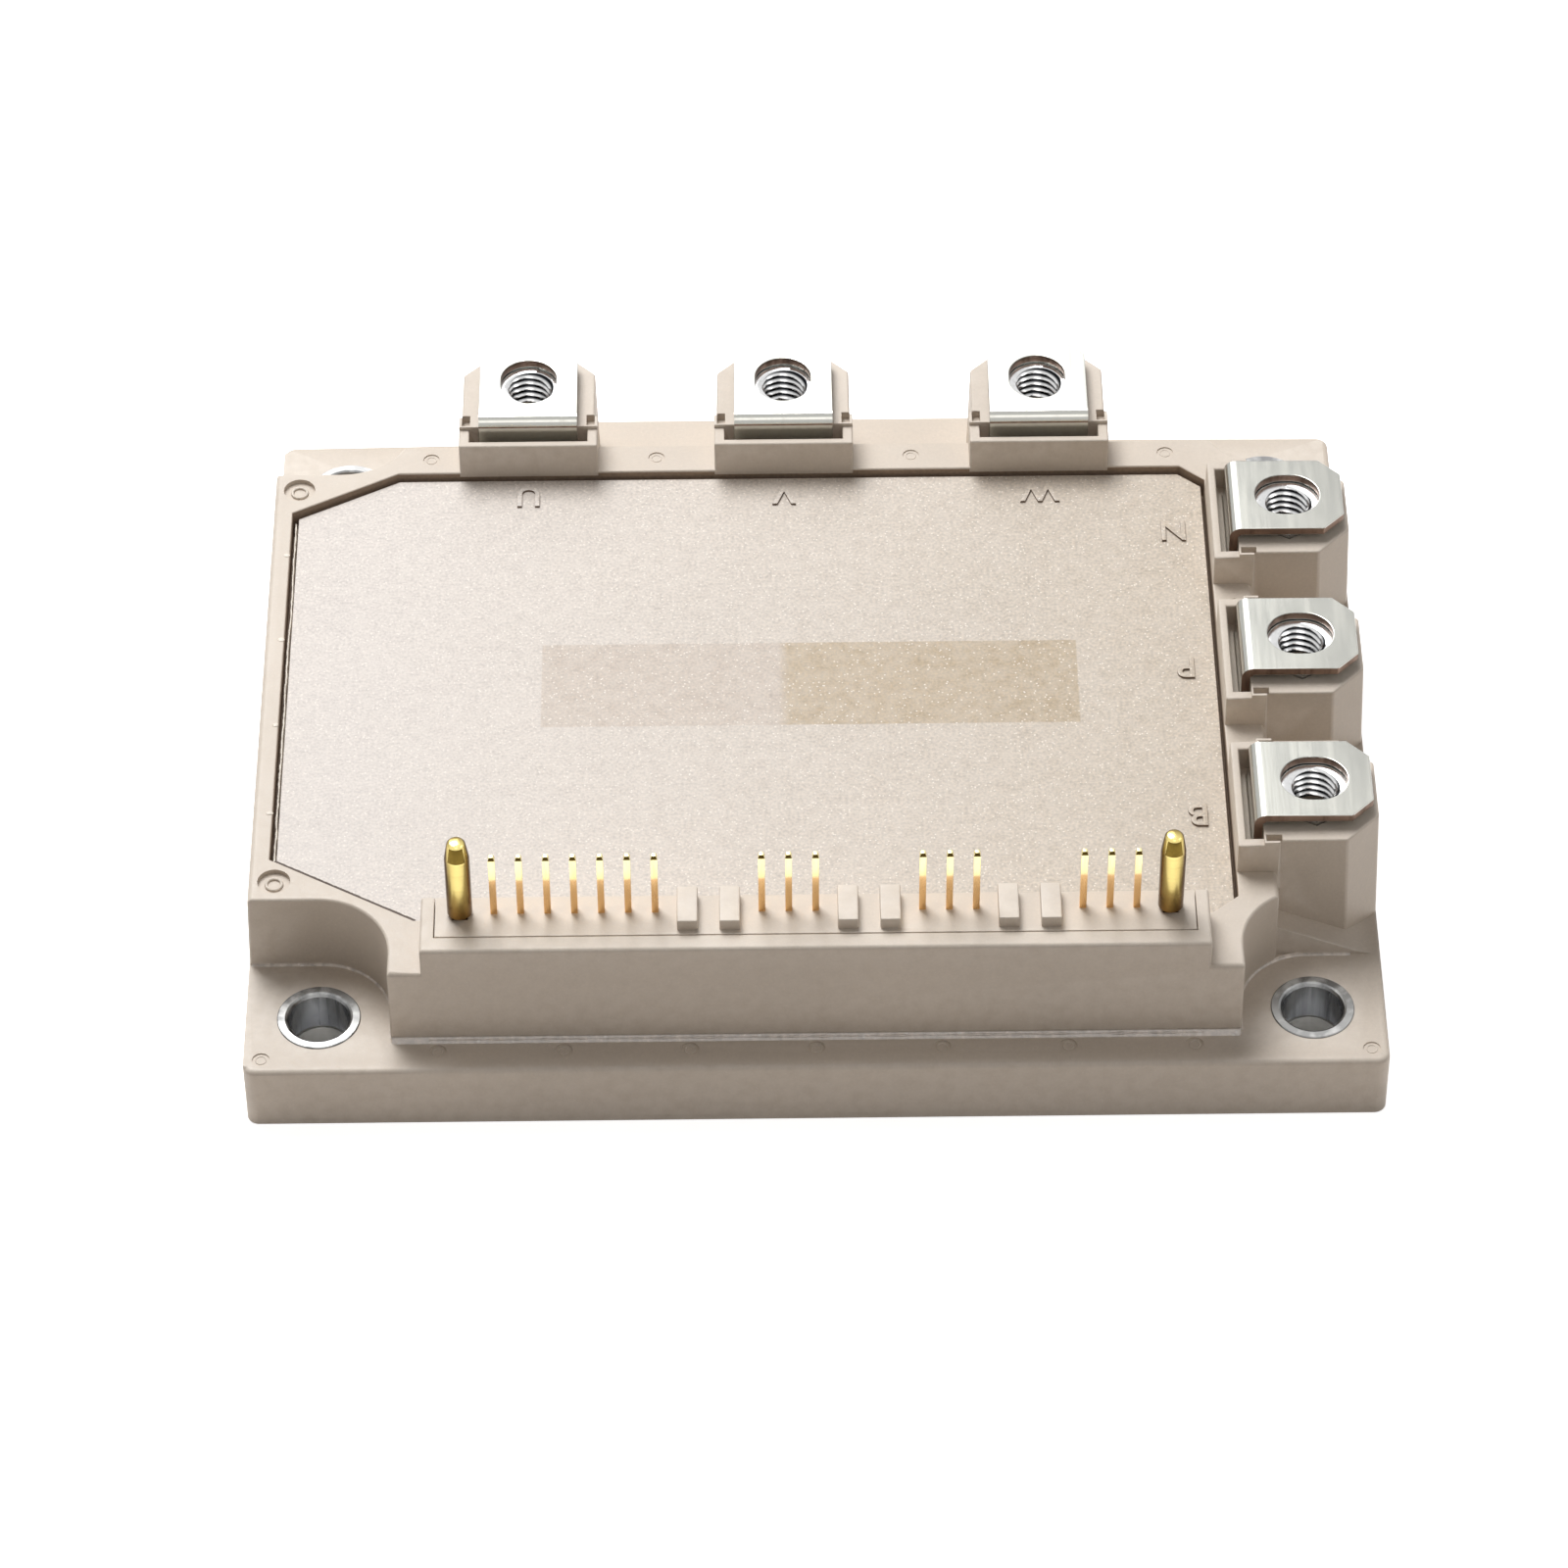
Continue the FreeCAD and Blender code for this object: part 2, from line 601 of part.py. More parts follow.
def terminal():
    """Plate bent from the screw tab, down through the wall, to the bonding pad.

    The bend at the tab is round outside, the hidden bends are short flats.
    """
    outer = BEND_RADIUS + TAB_THICKNESS
    pad_end = (THROAT_REACH + LID_SEAT + BOARD_SEAT + PAD_LEDGE_WIDTH) - PAD_SETBACK
    pad_top = PAD_LEDGE + TAB_THICKNESS
    leg_in, leg_out = -LEG_REACH, -LEG_REACH + TAB_THICKNESS
    top_y, top_z = leg_in + outer, TERMINAL_TOP - outer
    low_y, low_z = leg_in - BEND_RADIUS, pad_top + BEND_RADIUS
    p = [
        point(0, TAB_END, TERMINAL_TOP),
        point(0, top_y, TERMINAL_TOP),
        point(0, leg_in, top_z),
        point(0, leg_in, low_z),
        point(0, low_y, pad_top),
        point(0, -pad_end, pad_top),
        point(0, -pad_end, PAD_LEDGE),
        point(0, low_y, PAD_LEDGE),
        point(0, leg_out, low_z),
        point(0, leg_out, top_z),
        point(0, top_y, TAB_BOTTOM),
        point(0, TAB_END, TAB_BOTTOM),
    ]
    bend_reach = outer * math.sqrt(0.5)
    bend_middle = point(0, top_y - bend_reach, top_z + bend_reach)
    edges = [
        Part.makeLine(p[0], p[1]),
        Part.Arc(p[1], bend_middle, p[2]).toShape(),
        Part.makeLine(p[2], p[3]),
        Part.makeLine(p[3], p[4]),
        Part.makeLine(p[4], p[5]),
        Part.makeLine(p[5], p[6]),
        Part.makeLine(p[6], p[7]),
        Part.makeLine(p[7], p[8]),
        Part.makeLine(p[8], p[9]),
        Part.makeLine(p[9], p[10]),
        Part.makeLine(p[10], p[11]),
        Part.makeLine(p[11], p[0]),
    ]
    half = TAB_WIDTH / 2
    strip = Part.Face(Part.Wire(edges)).extrude(point(TAB_WIDTH, 0, 0))
    strip.translate(point(-half, 0, 0))
    plan = prism(
        [
            (-half, -pad_end),
            (half, -pad_end),
            (half, TAB_END - TAB_CORNER),
            (half - TAB_CORNER, TAB_END),
            (-half + TAB_CORNER, TAB_END),
            (-half, TAB_END - TAB_CORNER),
        ],
        0, TERMINAL_TOP + MERGE,
    )
    return strip.common(plan).cut(tab_slot())


def tab_slot():
    """Screw slot, longer towards the edge of the case."""
    run = (TAB_SLOT_LENGTH - TAB_SLOT_WIDTH) / 2
    half = TAB_SLOT_WIDTH / 2
    low, high = TAB_BOTTOM - MERGE, TERMINAL_TOP + MERGE
    ends = [disc(0, s * run, low, high, TAB_SLOT_WIDTH) for s in (-1, 1)]
    return fuse([block(-half, half, -run, run, low, high)] + ends)


def nut():
    """Hexagonal nut; the bore is the thread's outer diameter."""
    bore = disc(0, 0, NUT_BOTTOM - MERGE, NUT_TOP + MERGE, NUT_BORE)
    return hexagon(NUT_ACROSS_FLATS, NUT_BOTTOM, NUT_TOP).cut(bore)


# Control connector

def pin_columns():
    """X of every control pin, one list to a group, centred on the case."""
    x = -PIN_ROW_LENGTH / 2
    groups = []
    for count in PIN_COUNTS:
        groups.append([x + k * PIN_PITCH for k in range(count)])
        x = groups[-1][-1] + GROUP_GAP
    return groups


def guide_columns():
    groups = pin_columns()
    return {"left": groups[0][0] - GUIDE_GAP, "right": groups[-1][-1] + GUIDE_GAP}


def control_pin(x):
    """Square pin with a pyramid tip and a tail that is soldered in the board."""
    half = PIN_SIZE / 2
    top = CONNECTOR_TOP + PIN_HEIGHT
    shaft = rectangle(x - half, x + half, PIN_ROW - half, PIN_ROW + half)
    point_half = half / 3
    end = rectangle(x - point_half, x + point_half, PIN_ROW - point_half,
                    PIN_ROW + point_half)
    tip = frustum(shaft, end, top - PIN_TIP, top)
    return fuse([prism(shaft, BOARD_LEDGE - PIN_TAIL, top - PIN_TIP), tip])


def guide_pin(x):
    """Turned locating pin with a tapered nose, held in the moulding by a square shank."""
    top = CONNECTOR_TOP + GUIDE_HEIGHT
    shoulder = CONNECTOR_TOP + GUIDE_NECK
    half = GUIDE_SHANK / 2
    shank = block(-half, half, -half, half, CONNECTOR_TOP - GUIDE_ROOT, shoulder)
    barrel = disc(0, 0, shoulder, top - GUIDE_TAPER, GUIDE_DIAMETER)
    nose = Part.makeCone(GUIDE_DIAMETER / 2, GUIDE_TIP_DIAMETER / 2, GUIDE_TAPER,
                         point(0, 0, top - GUIDE_TAPER))
    pin = fuse([shank, barrel, nose])
    pin.translate(point(x, PIN_ROW - GUIDE_FORWARD, 0))
    return pin


def holder_keys():
    """Pairs of keys between the pin groups that code the mating plug."""
    front = HOLDER_FRONT + HOLDER_GAP + KEY_FRONT_SETBACK
    groups = pin_columns()
    keys = []
    for before, after in zip(groups, groups[1:]):
        middle = (before[-1] + after[0]) / 2
        for s in (-1, 1):
            x = middle + s * KEY_PITCH / 2
            keys.append(block(x - KEY_WIDTH / 2, x + KEY_WIDTH / 2, front,
                              CONNECTOR_REAR - HOLDER_GAP,
                              CONNECTOR_TOP - MERGE, CONNECTOR_TOP + KEY_HEIGHT))
    return keys


def pin_holder(pins, guides):
    """Moulded insert round the pins, with a foot behind it that carries the lid."""
    end = HOLDER_END - HOLDER_GAP
    rear = CONNECTOR_REAR - HOLDER_GAP
    body = block(-end, end, HOLDER_FRONT + HOLDER_GAP, rear,
                 HOLDER_BOTTOM, CONNECTOR_TOP)
    foot_end = BAY_END - FRONT_BAY_END_WALL
    foot = block(-foot_end, foot_end, rear - MERGE, CONNECTOR_REAR + LID_SEAT,
                 HOLDER_BOTTOM, LID_BOTTOM)
    whole = fuse([body, foot] + holder_keys())
    return whole.cut(pins + guides)


# Control board

def board(pins, relays):
    main = prism(opening_outline(LID_SEAT + BOARD_GAP), BOARD_LEDGE, BOARD_TOP)
    front = front_bay(BOARD_LEDGE, BOARD_TOP, BOARD_GAP)
    return fuse([main, front]).cut(pins + relays)


def board_parts():
    """Gate drivers under each bridge leg, with a buffer part in front of each."""
    length, width, height = DRIVER_SIZE
    drivers, buffers = [], []
    y = OPENING_REAR - DRIVER_ROW_SETBACK
    for centre in tile_centres() + [brake_centre()]:
        drivers.append(block(centre - width / 2, centre + width / 2, y - length / 2,
                             y + length / 2, BOARD_TOP, BOARD_TOP + height))
        low = y - BUFFER_ROW_OFFSET
        run, depth, tall = BUFFER_SIZE
        buffers.append(block(centre - run / 2, centre + run / 2, low - depth / 2,
                             low + depth / 2, BOARD_TOP, BOARD_TOP + tall))
    return drivers, buffers


# Insulated tiles, chips and wires

def chip_space():
    """Left, right, front and rear limits of the space over the base plate."""
    inset = LID_SEAT + BOARD_SEAT
    return (
        OPENING_LEFT + inset,
        OPENING_RIGHT - inset - PAD_LEDGE_WIDTH,
        CONNECTOR_REAR + inset,
        OPENING_REAR - inset - PAD_LEDGE_WIDTH,
    )


def tile_width():
    """Three bridge tiles and the brake tile share the space, with even gaps."""
    left, right = chip_space()[:2]
    return (right - left - BRAKE_TILE_WIDTH - 5 * TILE_GAP) / 3


def tile_centres():
    first = chip_space()[0] + TILE_GAP + tile_width() / 2
    return [first + k * (tile_width() + TILE_GAP) for k in range(3)]


def brake_centre():
    return chip_space()[1] - TILE_GAP - BRAKE_TILE_WIDTH / 2


class Tile:
    """Limits of the copper islands on one tile, in case coordinates."""

    def __init__(self, centre, width):
        front, rear = chip_space()[2:]
        self.tile_front = front + TILE_FRONT_GAP
        self.tile_rear = rear - TILE_REAR_GAP
        self.centre = centre
        self.width = width
        self.left = centre - width / 2 + TILE_MARGIN
        self.right = centre + width / 2 - TILE_MARGIN
        self.front = self.tile_front + TILE_MARGIN
        self.rear = self.tile_rear - TILE_MARGIN
        self.split = (self.front + self.rear) / 2 + TILE_SPLIT
        self.band_rear = self.front + NEGATIVE_BAND
        self.output_front = self.band_rear + ISLAND_GAP
        self.output_rear = self.split - ISLAND_GAP / 2
        self.positive_front = self.split + ISLAND_GAP / 2

    def layer(self, margin, z_low, z_high):
        half = self.width / 2 - margin
        return block(self.centre - half, self.centre + half, self.tile_front + margin,
                     self.tile_rear - margin, z_low, z_high)

    def ceramic(self):
        low = BASE_THICKNESS + COPPER_THICKNESS
        return self.layer(0, low, low + CERAMIC_THICKNESS)

    def envelope(self):
        """Plain block that holds the ceramic and the copper on both its sides."""
        return self.layer(0, BASE_THICKNESS, TILE_TOP)

    def under_copper(self):
        return self.layer(TILE_MARGIN, BASE_THICKNESS, BASE_THICKNESS + COPPER_THICKNESS)


def island(x_low, x_high, y_low, y_high):
    return block(x_low, x_high, y_low, y_high, TILE_TOP - COPPER_THICKNESS, TILE_TOP)


def chip(x, y, width, length):
    return block(x - width / 2, x + width / 2, y - length / 2, y + length / 2,
                 TILE_TOP, CHIP_TOP)


class BridgeLeg(Tile):
    """One half bridge: lower pair on the output island, upper pair on the positive one."""

    def __init__(self, centre):
        super().__init__(centre, tile_width())
        self.inner_left = self.left + SIGNAL_PAD + ISLAND_GAP
        self.strip_left = self.right - OUTPUT_STRIP
        self.positive_right = self.strip_left - ISLAND_GAP
        self.chip_x = (self.inner_left + self.positive_right) / 2
        self.low_switch = self.output_rear - WIRE_LANDING - SWITCH_CHIP / 2
        self.low_diode = self.low_switch - (SWITCH_CHIP + DIODE_LENGTH) / 2 - CHIP_GAP
        self.high_diode = self.positive_front + CHIP_GAP + DIODE_LENGTH / 2
        self.high_switch = self.high_diode + (SWITCH_CHIP + DIODE_LENGTH) / 2 + CHIP_GAP

    def signal_points(self):
        """Gate pad and sense pad beside each switch."""
        x = self.left + SIGNAL_PAD / 2
        return [(x, y + k * SIGNAL_PITCH)
                for y in (self.low_switch, self.high_switch) for k in (-0.5, 0.5)]

    def copper(self):
        output = fuse([
            island(self.inner_left, self.right, self.output_front, self.output_rear),
            island(self.strip_left, self.right, self.output_front, self.rear),
        ])
        half = SIGNAL_PAD / 2
        pads = [island(x - half, x + half, y - half, y + half)
                for x, y in self.signal_points()]
        return [
            island(self.left, self.right, self.front, self.band_rear),
            output,
            island(self.inner_left, self.positive_right, self.positive_front, self.rear),
        ] + pads

    def switches(self):
        return [chip(self.chip_x, y, SWITCH_CHIP, SWITCH_CHIP)
                for y in (self.low_switch, self.high_switch)]

    def diodes(self):
        return [chip(self.chip_x, y, SWITCH_CHIP, DIODE_LENGTH)
                for y in (self.low_diode, self.high_diode)]

    def wires(self):
        """Wires of this tile in bundles, one list for each pair of places they join."""
        landing = self.chip_x - SWITCH_CHIP / 2 + WIRE_FOOT
        bundles = [[signal_wire(x, y, landing)] for x, y in self.signal_points()]
        for start, end in (
            ((self.low_switch, CHIP_TOP), (self.low_diode, CHIP_TOP)),
            ((self.low_diode - WIRE_FOOT, CHIP_TOP), (self.band_rear - WIRE_FOOT, TILE_TOP)),
            ((self.high_switch, CHIP_TOP), (self.high_diode, CHIP_TOP)),
            ((self.high_diode - WIRE_FOOT, CHIP_TOP),
             (self.output_rear - WIRE_LANDING / 2, TILE_TOP)),
        ):
            columns = [self.chip_x + s * WIRE_SPACING for s in (-0.5, 0.5)]
            bundles.append([wire((x, *start), (x, *end)) for x in columns])
        return bundles


class BrakeLeg(Tile):
    """Brake switch and diode, with a positive island and a negative strip beside them."""

    def __init__(self):
        super().__init__(brake_centre(), BRAKE_TILE_WIDTH)
        self.strip_right = self.left + BRAKE_STRIP
        self.inner_left = self.strip_right + ISLAND_GAP
        self.chip_x = self.inner_left + BRAKE_CHIP_EDGE + BRAKE_CHIP / 2
        self.switch = self.front + CHIP_GAP + BRAKE_CHIP / 2
        self.diode = self.switch + (BRAKE_CHIP + DIODE_LENGTH) / 2 + CHIP_GAP
        self.strip_front = self.front + SIGNAL_PAD + ISLAND_GAP

    def signal_points(self):
        """Gate pad in line with the negative strip."""
        return [((self.left + self.strip_right) / 2, self.front + SIGNAL_PAD / 2)]

    def copper(self):
        return [
            island(self.left, self.strip_right, self.front, self.front + SIGNAL_PAD),
            island(self.left, self.strip_right, self.strip_front, self.rear),
            island(self.inner_left, self.right, self.front, self.output_rear),
            island(self.inner_left, self.right, self.positive_front, self.rear),
        ]

    def switches(self):
        return [chip(self.chip_x, self.switch, BRAKE_CHIP, BRAKE_CHIP)]

    def diodes(self):
        return [chip(self.chip_x, self.diode, BRAKE_CHIP, DIODE_LENGTH)]

    def wires(self):
        """Wires of this tile in bundles, one list for each pair of places they join."""
        landing = self.chip_x - BRAKE_CHIP / 2 + WIRE_FOOT
        columns = [self.chip_x + s * WIRE_SPACING for s in (-0.5, 0.5)]
        rows = [self.switch + k * WIRE_SPACING for k in (0, 1)]
        return [
            [signal_wire(x, y, landing) for x, y in self.signal_points()],
            [wire((x, self.diode, CHIP_TOP), (x, self.positive_front + WIRE_FOOT, TILE_TOP))
             for x in columns],
            [wire((self.chip_x - BRAKE_CHIP / 4, y, CHIP_TOP),
                  (self.left + BRAKE_STRIP / 2, y, TILE_TOP)) for y in rows],
        ]


def wire(start, end):
    """Bond wire as a thin arch that is pressed flat to a wedge at each foot."""
    run = math.hypot(end[0] - start[0], end[1] - start[1])
    ux, uy = (end[0] - start[0]) / run, (end[1] - start[1]) / run
    foot = min(WIRE_FOOT, run / 4)
    crest = max(start[2], end[2]) + WIRE_RISE
    arch = [(-foot / 2, start[2]), (foot / 2, start[2]), (run / 2, crest),
            (run - foot / 2, end[2]), (run + foot / 2, end[2]),
            (run / 2, crest + WIRE_SIZE)]
    across = point(-uy, ux, 0) * WIRE_SIZE
    loop = [point(start[0] + ux * s, start[1] + uy * s, z) - across / 2 for s, z in arch]
    return Part.Face(Part.makePolygon(loop + [loop[0]])).extrude(across)


def signal_wire(x, y, landing):
    """Wire from a signal pad to the near edge of its chip, beside the relay pin."""
    y += SIGNAL_OFFSET
    return wire((x, y, TILE_TOP), (landing, y, CHIP_TOP))


def bundle_space(bundle):
    """Plain block round a bundle of wires, the room that it takes in the gel."""
    limits = Part.makeCompound(bundle).BoundBox
    return block(limits.XMin, limits.XMax, limits.YMin, limits.YMax,
                 limits.ZMin, limits.ZMax)


def link_wires(legs, brake):
    """Bundles from tile to tile and from the tiles to the terminal pads."""
    found = []
    pad_top = PAD_LEDGE + TAB_THICKNESS
    rear_pad = chip_space()[3] + PAD_SETBACK + WIRE_FOOT
    side_pad = chip_space()[1] + PAD_SETBACK + WIRE_FOOT
    negative_y = legs[0].band_rear - WIRE_FOOT / 2
    positive_y = legs[0].rear - WIRE_FOOT - WIRE_SIZE - WIRE_PAIR
    for leg, name in zip(legs, ("u", "v", "w")):
        middle = (leg.strip_left + leg.right) / 2
        pad_low = STATIONS[name][0] - TAB_WIDTH / 2 + WIRE_FOOT
        pad_high = STATIONS[name][0] + TAB_WIDTH / 2 - WIRE_FOOT
        pair = []
        for s in (-0.5, 0.5):
            x = middle + s * OUTPUT_STRIP / 2
            landing = min(max(x, pad_low + (s + 0.5)), pad_high - (0.5 - s))
            pair.append(wire((x, leg.rear - WIRE_FOOT / 2, TILE_TOP),
                             (landing, rear_pad, pad_top)))
        found.append(pair)
    for left, right in zip(legs, legs[1:]):
        found += [
            [wire((left.right - WIRE_FOOT, negative_y, TILE_TOP),
                  (right.left + WIRE_FOOT, negative_y, TILE_TOP))],
            [wire((left.positive_right - WIRE_FOOT, positive_y, TILE_TOP),
                  (right.inner_left + WIRE_FOOT, positive_y, TILE_TOP))],
        ]
    last = legs[-1]
    strip = (brake.left + brake.strip_right) / 2
    found += [
        [wire((last.right - WIRE_FOOT, negative_y, TILE_TOP), (strip, negative_y, TILE_TOP))],
        [wire((last.positive_right - WIRE_FOOT, positive_y - NEGATIVE_BAND, TILE_TOP),
              (brake.inner_left + WIRE_FOOT, positive_y - NEGATIVE_BAND, TILE_TOP))],
    ]
    for start in (
        (strip, brake.rear - WIRE_FOOT),
        (brake.right - WIRE_FOOT, brake.positive_front + WIRE_FOOT),
        (brake.right - WIRE_FOOT / 2, brake.front + WIRE_FOOT),
    ):
        found.append([wire((*start, TILE_TOP), (side_pad, start[1], pad_top))])
    return found


def relay_pin(x, y):
    """Signal pin that stands on a tile and is soldered in the board above."""
    y -= SIGNAL_OFFSET
    half = RELAY_PIN_SIZE / 2
    return block(x - half, x + half, y - half, y + half, TILE_TOP, BOARD_TOP + PIN_TAIL)


def gel(inside):
    """Soft filling over the chips and wires, poured up to a level below the board."""
    left, right, front, rear = chip_space()
    outline = opening_outline(LID_SEAT + BOARD_SEAT)
    top = BASE_THICKNESS + GEL_DEPTH
    low = prism(outline, BASE_THICKNESS, PAD_LEDGE)
    low = low.common(block(left, right, front, rear, BASE_THICKNESS, PAD_LEDGE))
    high = prism(outline, PAD_LEDGE, top)
    bay = front_bay(PAD_LEDGE, top, BOARD_SEAT)
    return fuse([low, high, bay]).cut(inside)


def write(name, solids):
    shape = Part.makeCompound(solids) if len(solids) > 1 else solids[0]
    shape.exportStep(f"parts/{name}.step")


def main():
    os.makedirs("parts", exist_ok=True)
    terminals = {name: at_station(terminal(), name) for name in STATIONS}
    nuts = {name: at_station(nut(), name) for name in STATIONS}
    pins = [[control_pin(x) for x in group] for group in pin_columns()]
    all_pins = [pin for group in pins for pin in group]
    guides = {side: guide_pin(x) for side, x in guide_columns().items()}
    legs = [BridgeLeg(centre) for centre in tile_centres()]
    brake = BrakeLeg()
    tiles = legs + [brake]
    relays = [relay_pin(x, y) for tile in tiles for x, y in tile.signal_points()]
    drivers, buffers = board_parts()
    ceramics = [tile.ceramic() for tile in tiles]
    under = [tile.under_copper() for tile in tiles]
    islands = [tile.copper() for tile in tiles]
    switches = [piece for tile in tiles for piece in tile.switches()]
    diodes = [piece for tile in tiles for piece in tile.diodes()]
    bundles = [bundle for tile in tiles for bundle in tile.wires()]
    bundles += link_wires(legs, brake)
    wires = [piece for bundle in bundles for piece in bundle]

    write("case_frame", [case_frame(terminals)])
    write("lid", [lid()])
    write("base_plate", [base_plate()])
    for corner, (x, y) in hole_centres().items():
        write(f"sleeve_{corner}", [sleeve(x, y)])
    for name in STATIONS:
        write(f"terminal_{name}", [terminals[name]])
        write(f"nut_{name}", [nuts[name]])
    write("pin_holder", [pin_holder(all_pins, list(guides.values()))])
    for letter, group in zip("abcd", pins):
        write(f"control_pins_{letter}", group)
    for side, pin in guides.items():
        write(f"guide_pin_{side}", [pin])
    write("control_board", [board(all_pins, relays)])
    write("gate_drivers", drivers)
    write("signal_buffers", buffers)
    write("relay_pins", relays)
    labels = ("u", "v", "w", "brake")
    for label, ceramic, copper, below in zip(labels, ceramics, islands, under):
        write(f"ceramic_{label}", [ceramic])
        write(f"copper_{label}", copper + [below])
    write("switch_chips", switches)
    write("diode_chips", diodes)
    write("bond_wires", wires)
    inside = [tile.envelope() for tile in tiles]
    inside += [bundle_space(bundle) for bundle in bundles]
    inside += switches + diodes + relays + all_pins + list(terminals.values())
    write("gel_filling", [gel(inside)])


main()
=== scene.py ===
import json
import logging
import math
import random
from collections.abc import Callable, Sequence
from dataclasses import dataclass
from enum import Enum

import bmesh
import bpy
from bmesh.types import BMEdge, BMesh, BMFace
from bpy.types import Material, Mesh, MeshPolygon, Node, NodeSocket, NodeTree, Object, World
from mathutils import Matrix, Vector

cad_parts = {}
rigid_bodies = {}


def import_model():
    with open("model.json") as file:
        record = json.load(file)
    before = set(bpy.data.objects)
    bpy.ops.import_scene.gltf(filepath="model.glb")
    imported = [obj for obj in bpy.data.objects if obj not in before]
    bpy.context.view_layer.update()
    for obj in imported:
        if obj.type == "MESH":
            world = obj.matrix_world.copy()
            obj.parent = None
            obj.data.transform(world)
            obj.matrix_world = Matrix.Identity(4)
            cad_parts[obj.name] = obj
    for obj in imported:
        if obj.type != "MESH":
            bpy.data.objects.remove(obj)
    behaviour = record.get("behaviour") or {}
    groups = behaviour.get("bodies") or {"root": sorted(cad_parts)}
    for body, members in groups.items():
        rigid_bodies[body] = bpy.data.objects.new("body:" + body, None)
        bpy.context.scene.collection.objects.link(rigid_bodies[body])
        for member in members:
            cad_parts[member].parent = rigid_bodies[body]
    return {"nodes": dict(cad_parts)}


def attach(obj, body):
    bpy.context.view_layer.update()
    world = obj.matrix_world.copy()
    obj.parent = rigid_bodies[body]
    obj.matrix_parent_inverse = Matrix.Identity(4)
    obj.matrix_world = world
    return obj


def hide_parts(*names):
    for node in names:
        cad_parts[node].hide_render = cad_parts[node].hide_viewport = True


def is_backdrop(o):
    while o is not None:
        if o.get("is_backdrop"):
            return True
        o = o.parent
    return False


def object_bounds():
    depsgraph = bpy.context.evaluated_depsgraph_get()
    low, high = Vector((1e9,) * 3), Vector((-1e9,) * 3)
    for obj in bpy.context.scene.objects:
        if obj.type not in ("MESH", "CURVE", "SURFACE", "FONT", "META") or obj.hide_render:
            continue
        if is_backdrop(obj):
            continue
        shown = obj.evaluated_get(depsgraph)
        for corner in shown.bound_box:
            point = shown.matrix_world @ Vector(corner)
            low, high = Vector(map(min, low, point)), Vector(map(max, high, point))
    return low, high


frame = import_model()
CAD_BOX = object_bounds()

log = logging.getLogger("power_module")

MM = 0.001
BODY = "root"
WELD_DISTANCE = 0.002 * MM
GROOVE = "groove"
FLAT_ANGLE = math.radians(0.7)
CREASE_ANGLE = math.radians(25)
SMOOTH_ANGLE = math.radians(38)
LUMP_ANGLE = math.radians(60)
FLASH_ANGLE = math.radians(70)
BEAD_ANGLE = math.radians(50)
CRISP_ANGLE = math.radians(30)
NUT_ANGLE = math.radians(34)
SLEEVE_ANGLE = math.radians(25)
STEEP = 0.7
SIDEWAYS = 0.5
UNIT = (0.0, 1.0)
NOISE_BAND = (0.3, 0.7)

Triple = tuple[float, float, float]
Pair = tuple[float, float]
Rows = Sequence[Sequence[Triple]]


class Slot(Enum):
    """Material slots of the record, passed with each new piece."""

    CASE = "case"
    LID = "lid"
    HOLDER = "holder"
    BASE_PLATE = "base_plate"
    SLEEVE = "sleeve"
    TERMINAL = "terminal"
    NUT = "nut"
    PINS = "pins"
    GUIDE_PIN = "guide_pin"


class Socket(Enum):
    """Kinds of socket that the node groups use."""

    FLOAT = "NodeSocketFloat"
    WHOLE = "NodeSocketInt"
    VECTOR = "NodeSocketVector"
    COLOUR = "NodeSocketColor"
    GEOMETRY = "NodeSocketGeometry"
    MATERIAL = "NodeSocketMaterial"


class Station(Enum):
    """Screw terminals: place of the screw in millimetres, and turn of the tab in degrees."""

    U = ("u", -28.4, 37.5, 0.0)
    V = ("v", -2.4, 37.5, 0.0)
    W = ("w", 23.6, 37.5, 0.0)
    N = ("n", 48.0, 19.4, -90.0)
    P = ("p", 48.0, -0.6, -90.0)
    B = ("b", 48.0, -20.6, -90.0)

    @property
    def label(self) -> str:
        """Letter in the node's name."""
        return self.value[0]

    def placement(self) -> Matrix:
        """Turn and place of the terminal, in metres.

        Returns:
            The matrix from the terminal's own frame to the module's.
        """
        _, x, y, turn = self.value
        spin = Matrix.Rotation(math.radians(turn), 4, "Z")
        return Matrix.Translation(Vector((x, y, 0)) * MM) @ spin


def tone(red: int, green: int, blue: int) -> tuple[float, float, float, float]:
    """Linear colour from an sRGB one.

    Args:
        red: Red from 0 to 255.
        green: Green from 0 to 255.
        blue: Blue from 0 to 255.

    Returns:
        Linear red, green, blue and an alpha of one.
    """
    def linear(channel: int) -> float:
        """Linear value of one sRGB channel.

        Args:
            channel: Value from 0 to 255.

        Returns:
            Value from 0 to 1.
        """
        share = channel / 255
        return share / 12.92 if share <= 0.04045 else ((share + 0.055) / 1.055) ** 2.4

    return linear(red), linear(green), linear(blue), 1.0


# Wiring of nodes


